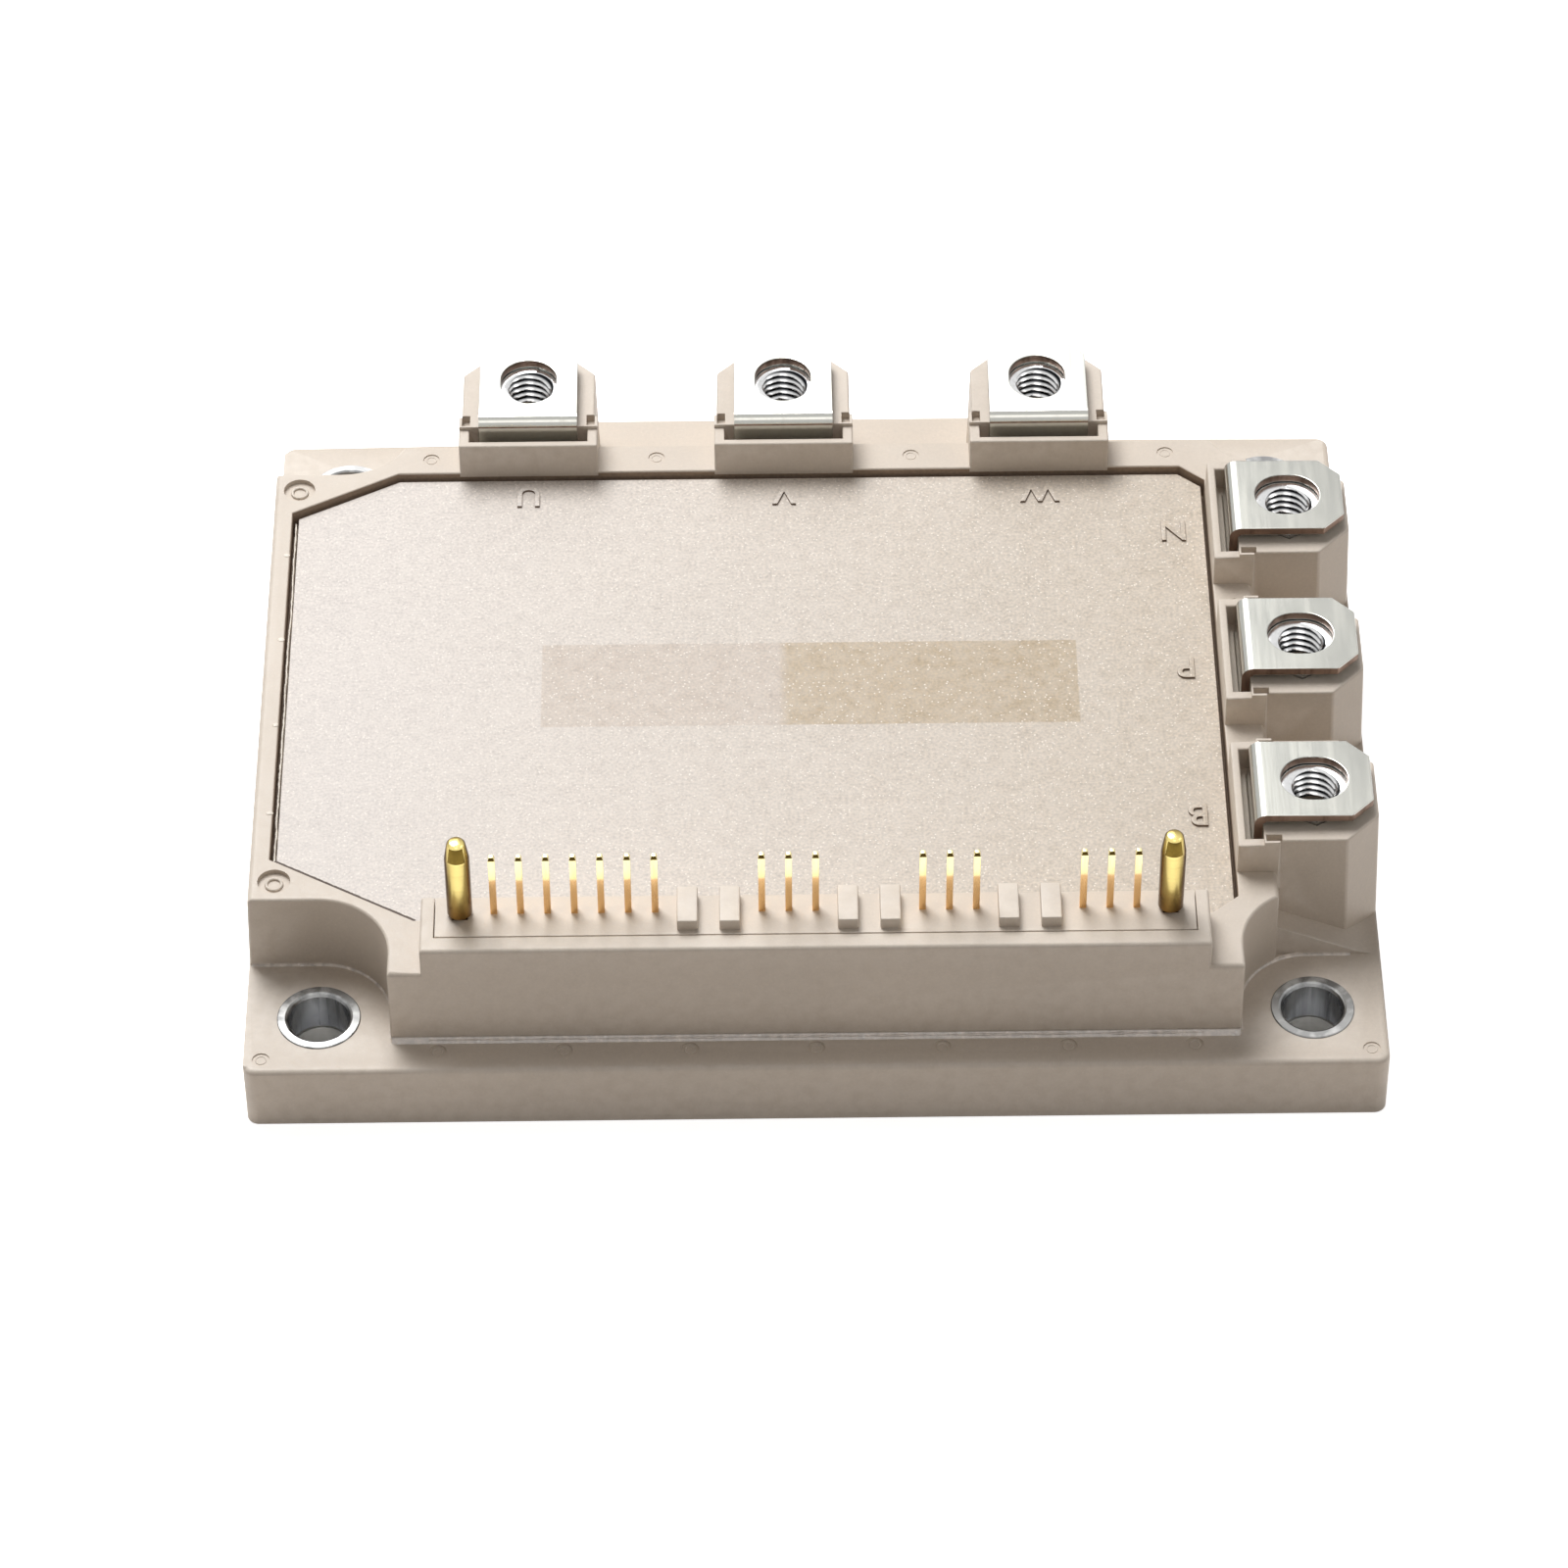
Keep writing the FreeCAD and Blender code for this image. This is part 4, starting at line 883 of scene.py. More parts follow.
def new_object(name: str, mesh: Mesh) -> Object:
    """Adds a mesh to the scene as an object at the origin.

    Args:
        name: Name of the object.
        mesh: Its mesh.

    Returns:
        The object.
    """
    made = bpy.data.objects.new(name, mesh)
    bpy.context.scene.collection.objects.link(made)
    return made


def shade(mesh: Mesh, angle: float = SMOOTH_ANGLE) -> None:
    """Smooth shading with sharp edges above an angle."""
    mesh.polygons.foreach_set("use_smooth", [True] * len(mesh.polygons))
    mesh.set_sharp_from_angle(angle=angle)


def baked(piece: Object, name: str) -> Mesh:
    """Plain mesh of an object with its modifiers applied.

    Args:
        piece: Object with modifiers, which are removed.
        name: Name of the new mesh.

    Returns:
        The new mesh, which the object then holds.
    """
    bpy.context.view_layer.update()
    graph = bpy.context.evaluated_depsgraph_get()
    mesh = bpy.data.meshes.new_from_object(piece.evaluated_get(graph))
    mesh.name = name
    piece.modifiers.clear()
    piece.data = mesh
    return mesh


def even_shading(piece: Object, angle: float = SMOOTH_ANGLE) -> None:
    """Bakes normals that keep broad faces flat and blend narrow ones into them.

    Args:
        piece: The object.
        angle: Angle above which edges stay sharp.
    """
    shade(piece.data, angle)
    weighting = piece.modifiers.new("even_shading", "WEIGHTED_NORMAL")
    weighting.mode = "FACE_AREA"
    weighting.keep_sharp = True
    baked(piece, piece.name)


def from_rings(rings: Rows, close_ends: bool = True) -> BMesh:
    """Closed skin over rings that have equally many points.

    Args:
        rings: Rings in order, in millimetres. The skin joins each ring to the next.
        close_ends: True for caps on the first and the last ring, False where the last
            ring joins the first one again.

    Returns:
        The mesh, with its faces pointing outwards.
    """
    made = bmesh.new()
    rows = [[made.verts.new(Vector(p) * MM) for p in ring] for ring in rings]
    count = len(rows[0])
    pairs = list(zip(rows, rows[1:]))
    if not close_ends:
        pairs.append((rows[-1], rows[0]))
    for low, high in pairs:
        for k in range(count):
            after = (k + 1) % count
            made.faces.new((low[k], low[after], high[after], high[k]))
    if close_ends:
        made.faces.new(list(reversed(rows[0])))
        made.faces.new(rows[-1])
    bmesh.ops.recalc_face_normals(made, faces=made.faces[:])
    return made


def turned(profile: Sequence[Pair], centre: Pair, steps: int, closed: bool) -> BMesh:
    """Turned part from a profile of radius and height.

    Args:
        profile: Radii and heights in millimetres, from the bottom.
        centre: Place of the axis.
        steps: Number of sides.
        closed: True for a part with a bore, whose profile is a closed loop.

    Returns:
        The mesh of the part.
    """
    angles = [2 * math.pi * k / steps for k in range(steps)]
    rings = [
        [(centre[0] + r * math.cos(a), centre[1] + r * math.sin(a), z) for a in angles]
        for r, z in profile
    ]
    return from_rings(rings, close_ends=not closed)


def to_mesh(made: BMesh, name: str) -> Mesh:
    """Writes a bmesh into a new mesh and frees it.

    Args:
        made: The bmesh.
        name: Name of the mesh.

    Returns:
        The mesh.
    """
    mesh = bpy.data.meshes.new(name)
    made.to_mesh(mesh)
    made.free()
    return mesh


def skinned(piece_name: str, rings: Rows, angle: float) -> Object:
    """Object with a closed skin over rings.

    Args:
        piece_name: Name of the object.
        rings: Rings in order, in millimetres.
        angle: Angle above which edges stay sharp.

    Returns:
        The object.
    """
    piece = new_object(piece_name, to_mesh(from_rings(rings), piece_name))
    shade(piece.data, angle)
    return piece


def welded(node: str) -> BMesh:
    """Merged copy of a node's mesh, with its flat faces joined again.

    Args:
        node: Name of the node.

    Returns:
        The merged copy.
    """
    source = frame["nodes"][node].data
    made = bmesh.new()
    corners = [made.verts.new(vertex.co) for vertex in source.vertices]
    for face in source.polygons:
        made.faces.new([corners[k] for k in face.vertices])
    bmesh.ops.remove_doubles(made, verts=made.verts[:], dist=WELD_DISTANCE)
    bmesh.ops.recalc_face_normals(made, faces=made.faces[:])
    bmesh.ops.dissolve_limit(
        made, angle_limit=FLAT_ANGLE, verts=made.verts[:], edges=made.edges[:]
    )
    return made


@dataclass(frozen=True)
class EdgeRule:
    """Rounding of the outer edges whose middle lies in a box.

    Limits are in millimetres; None leaves a side open. Edges over the longest length are
    left to the next rule, and edges under the shortest one stay as they are.
    """

    width: float
    x: tuple[float | None, float | None] = (None, None)
    y: tuple[float | None, float | None] = (None, None)
    z: tuple[float | None, float | None] = (None, None)
    upright: bool | None = None
    shortest: float = 0.56
    longest: float = math.inf

    def fits(self, middle: Vector, run: Vector) -> bool:
        """True if an edge with that middle and run is under this rule.

        Args:
            middle: Middle of the edge.
            run: From one end to the other.

        Returns:
            Whether the rule holds for the edge.
        """
        if run.length > self.longest * MM:
            return False
        for value, (low, high) in zip(middle / MM, (self.x, self.y, self.z)):
            if low is not None and value < low:
                return False
            if high is not None and value > high:
                return False
        return self.upright is None or self.upright == (abs(run.normalized().z) > STEEP)


@dataclass(frozen=True)
class Rounding:
    """Rounds the outer edges of a copied node."""

    rules: tuple[EdgeRule, ...]
    segments: int = 3

    def width_of(self, edge: BMEdge) -> float:
        """Width of the rounding on one edge, in millimetres, or 0.

        Args:
            edge: The edge.

        Returns:
            The width.
        """
        if len(edge.link_faces) != 2 or not edge.is_convex:
            return 0.0
        if edge.calc_face_angle() < CREASE_ANGLE:
            return 0.0
        first, second = (vertex.co for vertex in edge.verts)
        run = second - first
        middle = (first + second) / 2
        for rule in self.rules:
            if rule.fits(middle, run):
                return rule.width if run.length >= rule.shortest * MM else 0.0
        return 0.0

    def apply(self, made: BMesh, piece_name: str) -> Object:
        """Turns a merged copy into an object with rounded edges.

        Args:
            made: The merged copy, freed afterwards.
            piece_name: Name of the new object.

        Returns:
            The object, with a plain mesh.
        """
        widths = {edge.index: self.width_of(edge) for edge in indexed(made)}
        widest = max(widths.values())
        weight = made.edges.layers.float.new("bevel_weight_edge")
        for edge in made.edges:
            edge[weight] = widths[edge.index] / widest
        piece = new_object(piece_name, to_mesh(made, piece_name))
        bevel = piece.modifiers.new("rounding", "BEVEL")
        bevel.limit_method = "WEIGHT"
        bevel.width = widest * MM
        bevel.segments = self.segments
        bevel.use_clamp_overlap = False
        bevel.loop_slide = False
        baked(piece, piece_name)
        even_shading(piece)
        return piece


def indexed(made: BMesh) -> Sequence[BMEdge]:
    """Edges of a mesh with fresh numbers."""
    made.edges.index_update()
    return made.edges[:]


def settle(piece: Object, slot: Slot, *nodes: str) -> None:
    """Puts a finished piece on the body, and hides the nodes that it replaces.

    Args:
        piece: The finished object.
        slot: Not used.
        nodes: Nodes that it replaces.
    """
    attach(piece, BODY)
    if nodes:
        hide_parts(*nodes)
    log.info("%s: %d faces", piece.name, len(piece.data.polygons))


def dress(piece: Object, *materials: Material) -> None:
    """Gives an object these materials, in order.

    Args:
        piece: The object.
        materials: Its materials.
    """
    piece.data.materials.clear()
    for material in materials:
        piece.data.materials.append(material)


# Geometry node trees


class NodeTool:
    """A geometry node tree with named inputs, run on one object and then baked."""

    name = "Tool"
    takes: tuple[Port, ...] = ()

    def __init__(self) -> None:
        """Builds the tree once."""
        self.tree = bpy.data.node_groups.new(self.name, "GeometryNodeTree")
        Port("Geometry", Socket.GEOMETRY).add_to(self.tree, "INPUT")
        self.ids = {port.name: port.add_to(self.tree, "INPUT").identifier for port in self.takes}
        Port("Geometry", Socket.GEOMETRY).add_to(self.tree, "OUTPUT")
        wiring = Wiring(self.tree)
        given = wiring.node("NodeGroupInput").outputs
        shape = self.wire(wiring, given)
        realized = wiring.node("GeometryNodeRealizeInstances", {0: shape}).outputs[0]
        dressed = wiring.node(
            "GeometryNodeSetMaterial", {"Geometry": realized, "Material": given["Material"]}
        )
        target = wiring.node("NodeGroupOutput")
        wiring.feed(target.inputs[0], dressed.outputs[0])

    def wire(self, wiring: Wiring, given: object) -> NodeSocket:
        """Joins the nodes of the tool and returns its shape."""
        raise NotImplementedError

    def run(self, piece_name: str, points: Sequence[Triple], **inputs: object) -> Object:
        """Makes one piece.

        Args:
            piece_name: Name of the object.
            points: Points that the tree reads, in millimetres.
            inputs: Values of the named inputs, with underscores for spaces.

        Returns:
            The object, with a plain mesh whose faces point outwards.
        """
        start = bpy.data.meshes.new(piece_name)
        start.from_pydata([Vector(p) * MM for p in points], [], [])
        piece = new_object(piece_name, start)
        modifier = piece.modifiers.new(self.name, "NODES")
        modifier.node_group = self.tree
        for name, value in inputs.items():
            modifier[self.ids[name.replace("_", " ")]] = value
        mesh = baked(piece, piece_name)
        made = bmesh.new()
        made.from_mesh(mesh)
        bmesh.ops.remove_doubles(made, verts=made.verts[:], dist=WELD_DISTANCE)
        bmesh.ops.recalc_face_normals(made, faces=made.faces[:])
        made.to_mesh(mesh)
        made.free()
        dress(piece, inputs["Material"])
        mesh.polygons.foreach_set("material_index", [0] * len(mesh.polygons))
        return piece


class PinTool(NodeTool):
    """Row of square pins with pyramid tips."""

    name = "Pin Row"
    takes = (
        Port("Count", Socket.WHOLE, 3),
        Port("Pitch", Socket.FLOAT, 2.54 * MM),
        Port("Size", Socket.FLOAT, 0.64 * MM),
        Port("Shaft", Socket.FLOAT, 10 * MM),
        Port("Tip", Socket.FLOAT, 0.9 * MM),
        Port("Tip Share", Socket.FLOAT, 0.33),
        Port("Start", Socket.VECTOR),
        Port("Material", Socket.MATERIAL),
    )

    def wire(self, wiring: Wiring, given: object) -> NodeSocket:
        """Square outline, drawn up twice, set along a line.

        Args:
            wiring: Wiring of the tree.
            given: Its inputs.

        Returns:
            The shape's socket.
        """
        radius = wiring.math("MULTIPLY", given["Size"], math.sqrt(0.5))
        square = wiring.node(
            "GeometryNodeMeshCircle", {"Vertices": 4, "Radius": radius}, fill_type="NGON"
        ).outputs[0]
        outline = wiring.node(
            "GeometryNodeTransform", {"Geometry": square, "Rotation": (0, 0, math.pi / 4)}
        ).outputs[0]
        shaft = self.drawn_up(wiring, outline, given["Shaft"])
        tip = self.drawn_up(wiring, shaft.outputs["Mesh"], given["Tip"], shaft.outputs["Top"])
        narrowed = wiring.node(
            "GeometryNodeScaleElements",
            {"Geometry": tip.outputs["Mesh"], "Selection": tip.outputs["Top"],
             "Scale": given["Tip Share"]},
        ).outputs[0]
        floor = wiring.node("GeometryNodeFlipFaces", {"Mesh": outline}).outputs[0]
        joined = wiring.node("GeometryNodeJoinGeometry")
        for part in (floor, narrowed):
            wiring.tree.links.new(part, joined.inputs[0])
        pin = wiring.node(
            "GeometryNodeMergeByDistance",
            {"Geometry": joined.outputs[0], "Distance": WELD_DISTANCE},
        ).outputs[0]
        step = wiring.node("ShaderNodeCombineXYZ", {0: given["Pitch"]}).outputs[0]
        line = wiring.node(
            "GeometryNodeMeshLine",
            {"Count": given["Count"], "Start Location": given["Start"], "Offset": step},
        ).outputs[0]
        return wiring.node(
            "GeometryNodeInstanceOnPoints", {"Points": line, "Instance": pin}
        ).outputs[0]

    @staticmethod
    def drawn_up(wiring: Wiring, shape: object, height: object, face: object = True) -> Node:
        """Extrudes faces straight up by a height.

        Args:
            wiring: Wiring of the tree.
            shape: The mesh's socket.
            height: Height of the rise.
            face: Selection of the faces.

        Returns:
            The extruding node.
        """
        rise = wiring.node("ShaderNodeCombineXYZ", {2: height}).outputs[0]
        inputs = {"Mesh": shape, "Offset": rise, "Offset Scale": 1.0, "Selection": face}
        return wiring.node("GeometryNodeExtrudeMesh", inputs)


class RingTool(NodeTool):
    """Thin raised rings round given points."""

    name = "Mark Rings"
    PROFILE_SIDES = 8
    takes = (
        Port("Radius", Socket.FLOAT, 0.5 * MM),
        Port("Bead", Socket.FLOAT, 0.08 * MM),
        Port("Sides", Socket.WHOLE, 28),
        Port("Material", Socket.MATERIAL),
    )

    def wire(self, wiring: Wiring, given: object) -> NodeSocket:
        """Circle swept by a small round profile, set on each point.

        Args:
            wiring: Wiring of the tree.
            given: Its inputs.

        Returns:
            The shape's socket.
        """
        path = wiring.node(
            "GeometryNodeCurvePrimitiveCircle",
            {"Resolution": given["Sides"], "Radius": given["Radius"]},
        ).outputs[0]
        bead = wiring.node(
            "GeometryNodeCurvePrimitiveCircle",
            {"Resolution": self.PROFILE_SIDES, "Radius": given["Bead"]},
        ).outputs[0]
        ring = wiring.node(
            "GeometryNodeCurveToMesh", {"Curve": path, "Profile Curve": bead}
        ).outputs[0]
        return wiring.node(
            "GeometryNodeInstanceOnPoints", {"Points": given["Geometry"], "Instance": ring}
        ).outputs[0]


class DabTool(NodeTool):
    """Small flat lumps of moulding compound at given points."""

    name = "Moulding Dabs"
    ROUNDNESS = 3
    SMALLEST = (0.7, 0.7, 0.8)
    LARGEST = (1.2, 1.2, 1.1)
    TURN = 0.5
    takes = (
        Port("Size", Socket.VECTOR, (0.4 * MM, 0.3 * MM, 0.1 * MM)),
        Port("Seed", Socket.WHOLE, 7),
        Port("Material", Socket.MATERIAL),
    )

    def wire(self, wiring: Wiring, given: object) -> NodeSocket:
        """Ball pressed flat, with a little spread in size and turn.

        Args:
            wiring: Wiring of the tree.
            given: Its inputs.

        Returns:
            The shape's socket.
        """
        ball = wiring.node(
            "GeometryNodeMeshIcoSphere", {"Radius": 1.0, "Subdivisions": self.ROUNDNESS}
        ).outputs[0]
        pressed = wiring.node(
            "GeometryNodeTransform", {"Geometry": ball, "Scale": given["Size"]}
        ).outputs[0]
        spread = wiring.node(
            "FunctionNodeRandomValue",
            {0: self.SMALLEST, 1: self.LARGEST, "Seed": given["Seed"]},
            data_type="FLOAT_VECTOR",
        ).outputs[0]
        turn = wiring.node(
            "FunctionNodeRandomValue",
            {0: (0, 0, -self.TURN), 1: (0, 0, self.TURN), "Seed": given["Seed"]},
            data_type="FLOAT_VECTOR",
        ).outputs[0]
        return wiring.node(
            "GeometryNodeInstanceOnPoints",
            {"Points": given["Geometry"], "Instance": pressed, "Rotation": turn, "Scale": spread},
        ).outputs[0]


# Sub-assemblies


@dataclass
class CaseMoulding:
    """Case with softly rounded edges, painted shade on the walls of the groove round the lid, and
    mould marks.
    """

    left: float = -54.5
    right: float = 54.5
    front: float = -44.0
    flange_top: float = 7.35
    body_top: float = 16.4
    body_right: float = 44.4
    body_front: float = -40.0
    connector_end: float = 37.3
    connector_front: float = -39.88
    connector_rear: float = -32.78
    connector_top: float = 19.5
    post_top: float = 20.4
    lid_bottom: float = 14.0
    opening_left: float = -52.27
    opening_right: float = 40.4
    opening_rear: float = 29.9
    rear_left_cut: Pair = (10.6, 5.7)
    front_left_cut: Pair = (14.0, 8.2)
    right_cut: Pair = (2.5, 2.1)
    relief_x: float = 40.45
    relief_y: float = 30.0
    relief_facet: float = 0.8
    corner_facet: float = 0.2
    web_top: float = 10.5
    rear_shoulders: Pair = (32.2, 34.1)
    right_shoulders: Pair = (42.7, 44.6)
    rear_steps: Pair = (33.6, 34.3)
    right_steps: Pair = (44.1, 44.8)
    throat_half: float = 7.05
    throat_shade_top: float = 15.85
    rim_shade_top: float = 16.22
    large_marks: tuple[Pair, ...] = ((-51.7, 27.55), (-51.7, -27.55))
    large_mark_level: float = 15.98
    small_mark_depth: float = 0.12
    ledge_mark_row: float = -41.5
    ledge_mark_spacing: float = 12.0
    ledge_marks_each_way: int = 3
    corner_mark_inset: float = 1.7
    rear_rim: float = 31.9
    rear_mark_columns: tuple[float, ...] = (-38.4, -15.4, 10.6, 36.6)
    right_mark_row: float = 9.4
    small_ring: tuple[float, float, int] = (0.5, 0.06, 20)
    large_ring: tuple[float, float, int] = (0.75, 0.16, 32)
    dab_rows: tuple[float, ...] = (17.9, 5.7, -6.3, -18.4)
    dab_column: float = -52.55
    dab_size: Triple = (0.34, 0.26, 0.09)
    dab_seed: int = 11
    bead_reach: float = 0.92
    bead_flank: float = 0.2
    bead_lift: float = 0.05
    bead_top: float = 15.64
    bead_crown: float = 0.06
    bead_edge_drop: float = 0.12
    bead_waver: float = 0.03
    bead_gap: float = 0.01
    bead_steps: int = 60
    bead_seed: int = 3
    flash_row: float = -40.25
    flash_level: float = 7.6
    flash_radius: float = 0.17
    flash_end: float = 0.4
    flash_steps: int = 240
    flash_sides: int = 8
    flash_seed: int = 9
    flash_first_swell: float = 0.5
    flash_least_swell: float = 0.15
    flash_memory: float = 0.8
    flash_growth: Pair = (-0.1, 0.32)
    foot_height: float = 0.7
    foot_slope: float = 0.4
    relief_radius: float = 7.0
    relief_steps: int = 20
    web_end: float = 51.6
    fillet_size: float = 0.24
    fillet_root: float = 0.1
    fillet_lip: float = 0.01
    fillet_hollow: float = 0.3
    margin: float = 0.1
    plainly_upright: float = 0.2
    plainly_facing: float = 0.9
    soft_edge: float = 0.5
    left_edge: float = 0.16
    relief_edge: float = 0.3
    crest_edge: float = 0.12
    crisp_edge: float = 0.06
    step_edge: float = 0.08

    def rounding(self) -> Rounding:
        """Widths for the parts of the moulding, the most particular ones first.

        Returns:
            The rules in order.
        """
        close = 0.15
        flange = (self.flange_top - close, self.flange_top + close)
        rim = (self.body_top - close, self.body_top + close)
        head = (self.connector_top - close, self.connector_top + close)
        shoulder = (self.post_top - close, self.post_top + close)
        soft, crisp, step = self.soft_edge, self.crisp_edge, self.step_edge
        inner_x = (self.opening_left - self.margin, self.opening_right + self.margin)
        inner_y = (self.body_front + 1.0, self.opening_rear + self.margin)
        crests_y = (self.connector_rear + self.margin, inner_y[1])
        reliefs = tuple(
            EdgeRule(self.relief_edge, x=x, y=y, z=rim, shortest=0.3)
            for x in ((None, -self.relief_x + close), (self.relief_x - close, None))
            for y in ((None, -self.relief_y + close), (self.relief_y - close, None))
        )
        return Rounding(
            rules=reliefs + (
                EdgeRule(0.0, x=inner_x, y=inner_y, z=(None, self.lid_bottom + close)),
                EdgeRule(0.0, z=(None, self.flange_top - 1.0)),
                EdgeRule(0.0, z=(self.web_top - close, self.web_top + close)),
                EdgeRule(self.left_edge, x=(None, self.left + 0.05), z=flange),
                EdgeRule(soft, z=flange, shortest=0.0, longest=self.corner_facet),
                EdgeRule(0.0, z=flange, longest=self.relief_facet),
                EdgeRule(soft, z=flange),
                EdgeRule(self.crest_edge, x=inner_x, y=crests_y, z=rim),
                EdgeRule(soft, x=(None, self.left + 0.6), z=rim),
                EdgeRule(soft, y=(None, self.connector_rear), z=rim),
                EdgeRule(soft, x=(self.body_right - 0.3, None), z=rim),
                EdgeRule(crisp, y=self.rear_shoulders, z=shoulder, shortest=0.0),
                EdgeRule(crisp, x=self.right_shoulders, z=shoulder, shortest=0.0),
                EdgeRule(0.4, y=(None, self.connector_front + 0.3), z=head),
                EdgeRule(0.3, x=(self.connector_end - 0.3, None), z=head),
                EdgeRule(0.3, x=(None, -self.connector_end + 0.3), z=head),
                EdgeRule(0.1, z=head),
                EdgeRule(step, y=self.rear_steps, z=(self.body_top, None), upright=True),
                EdgeRule(step, x=self.right_steps, z=(self.body_top, None), upright=True),
                EdgeRule(0.25, upright=True),
                EdgeRule(0.2),
            )
        )

    def opening(self) -> list[Pair]:
        """Eight corners of the lid opening.

        Returns:
            The corners, anticlockwise from above.
        """
        left, right = self.opening_left, self.opening_right
        front, rear = self.connector_rear, self.opening_rear
        left_front, left_rear, cut = self.front_left_cut, self.rear_left_cut, self.right_cut
        return [
            (left, front + left_front[1]), (left + left_front[0], front),
            (right - cut[0], front), (right, front + cut[1]),
            (right, rear - cut[1]), (right - cut[0], rear),
            (left + left_rear[0], rear), (left, rear - left_rear[1]),
        ]

    def in_opening(self, x: float, y: float, margin: float) -> bool:
        """True for a point inside the lid opening widened by a margin.

        Args:
            x: Place across.
            y: Place in depth.
            margin: Widening of the opening.

        Returns:
            Whether the point is inside.
        """
        corners = self.opening()
        for (ax, ay), (bx, by) in zip(corners, corners[1:] + corners[:1]):
            run = math.hypot(bx - ax, by - ay)
            if ((bx - ax) * (y - ay) - (by - ay) * (x - ax)) / run < -margin:
                return False
        return True

    def build(self, book: FinishBook) -> None:
        """Makes the case, its marks, its dark bead of painted shade and the thin highlight lines
        at its feet.

        Args:
            book: Finishes of the module.
        """
        copy = welded("case_frame")
        self.part_walls(copy)
        piece = self.rounding().apply(copy, "case_shell")
        dress(piece, book.get("case"), book.get("groove_shade"), book.get("highlight_flash"))
        for face in piece.data.polygons:
            x, y, z = face.center / MM
            # groove walls round the lid take the darker finish: painted shade
            groove = self.lid_bottom - self.margin < z < self.shade_top(x, y)
            if groove and self.in_opening(x, y, self.margin / 2):
                face.material_index = 1
            # sloping foot faces take the paler glossy finish: painted highlight
            elif self.is_foot(face):
                face.material_index = 2
        settle(piece, Slot.CASE, "case_frame")
        self.build_marks(book)
        self.build_front_bead(book)
        self.build_foot_flash(book)
        self.build_relief_feet(book)

    def is_foot(self, face: MeshPolygon) -> bool:
        """True for the sloping foot of the connector's front wall.

        Args:
            face: Face of the rounded case.

        Returns:
            Whether it is the foot.
        """
        _, y, z = face.center / MM
        sloping = face.normal.y < -self.foot_slope and face.normal.z > self.foot_slope
        low = self.flange_top < z < self.flange_top + self.foot_height
        return sloping and low and abs(y - self.flash_row) < self.foot_height

    def shade_top(self, x: float, y: float) -> float:
        """Height that the painted groove shade reaches on the wall at one place.

        Args:
            x: Place across.
            y: Place in depth.

        Returns:
            The height in millimetres.
        """
        for station in Station:
            _, sx, sy, turn = station.value
            along, across = (y - sy, x) if turn else (x - sx, y)
            limit = self.opening_right if turn else self.opening_rear
            if abs(along) < self.throat_half and across > limit - self.margin:
                return self.throat_shade_top
        return self.rim_shade_top

    def part_walls(self, made: BMesh) -> None:
        """Parts the walls round the lid where the painted groove shade ends.

        Args:
            made: Merged copy of the case.
        """
        up = Vector((0, 0, 1))
        cuts = [(Vector((0, 0, level)) * MM, up)
                for level in (self.throat_shade_top, self.rim_shade_top)]
        for station in Station:
            _, x, y, turn = station.value
            side = Vector((0, 1, 0)) if turn else Vector((1, 0, 0))
            cuts += [((Vector((x, y, 0)) + side * reach) * MM, side)
                     for reach in (-self.throat_half, self.throat_half)]
        for place, normal in cuts:
            walls = [face for face in made.faces if self.is_wall(face)]
            edges = {edge for face in walls for edge in face.edges}
            points = {vertex for face in walls for vertex in face.verts}
            bmesh.ops.bisect_plane(
                made, geom=walls + list(edges) + list(points), dist=WELD_DISTANCE / 4,
                plane_co=place, plane_no=normal,
            )

    def is_wall(self, face: BMFace) -> bool:
        """True for an upright face that looks at the lid's edge.

        Args:
            face: Face of the merged copy.

        Returns:
            Whether it is such a face.
        """
        x, y, z = face.calc_center_median() / MM
        upright = abs(face.normal.z) < self.plainly_upright
        at_height = self.lid_bottom < z < self.post_top
        on_rear = abs(y - self.opening_rear) < self.margin
        on_right = abs(x - self.opening_right) < self.margin
        faces_front = face.normal.y < -self.plainly_facing
        faces_left = face.normal.x < -self.plainly_facing
        return upright and at_height and (on_rear and faces_front or on_right and faces_left)

    def build_front_bead(self, book: FinishBook) -> None:
        """Dark bead that fills the groove along the front left corner, as a painted shade line.

        Args:
            book: Finishes of the module.
        """
        corners = self.opening()
        start, end = Vector(corners[0]), Vector(corners[1])
        run = (end - start).normalized()
        inward = Vector((-run.y, run.x))
        reach, flank = self.bead_reach, self.bead_reach - self.bead_flank
        foot = self.lid_bottom + self.bead_lift
        section = (
            (0.0, foot), (flank, foot), (reach, self.bead_top - self.bead_edge_drop),
            (flank, self.bead_top), (0.5 * reach, self.bead_top + self.bead_crown),
            (0.0, self.bead_top),
        )
        length = 1.0 - 2 * self.bead_gap
        rng = random.Random(self.bead_seed)
        rings = []
        for k in range(self.bead_steps + 1):
            place = start.lerp(end, self.bead_gap + length * k / self.bead_steps)
            shift = rng.uniform(-self.bead_waver, self.bead_waver)
            shifted = [(out + shift if out else 0.0, z) for out, z in section]
            rings.append([
                (place.x + inward.x * out, place.y + inward.y * out, z) for out, z in shifted
            ])
        piece = skinned("front_bead", rings, LUMP_ANGLE)
        # dark bead: painted shade line
        dress(piece, book.get("painted_shade_bead"))
        settle(piece, Slot.CASE)

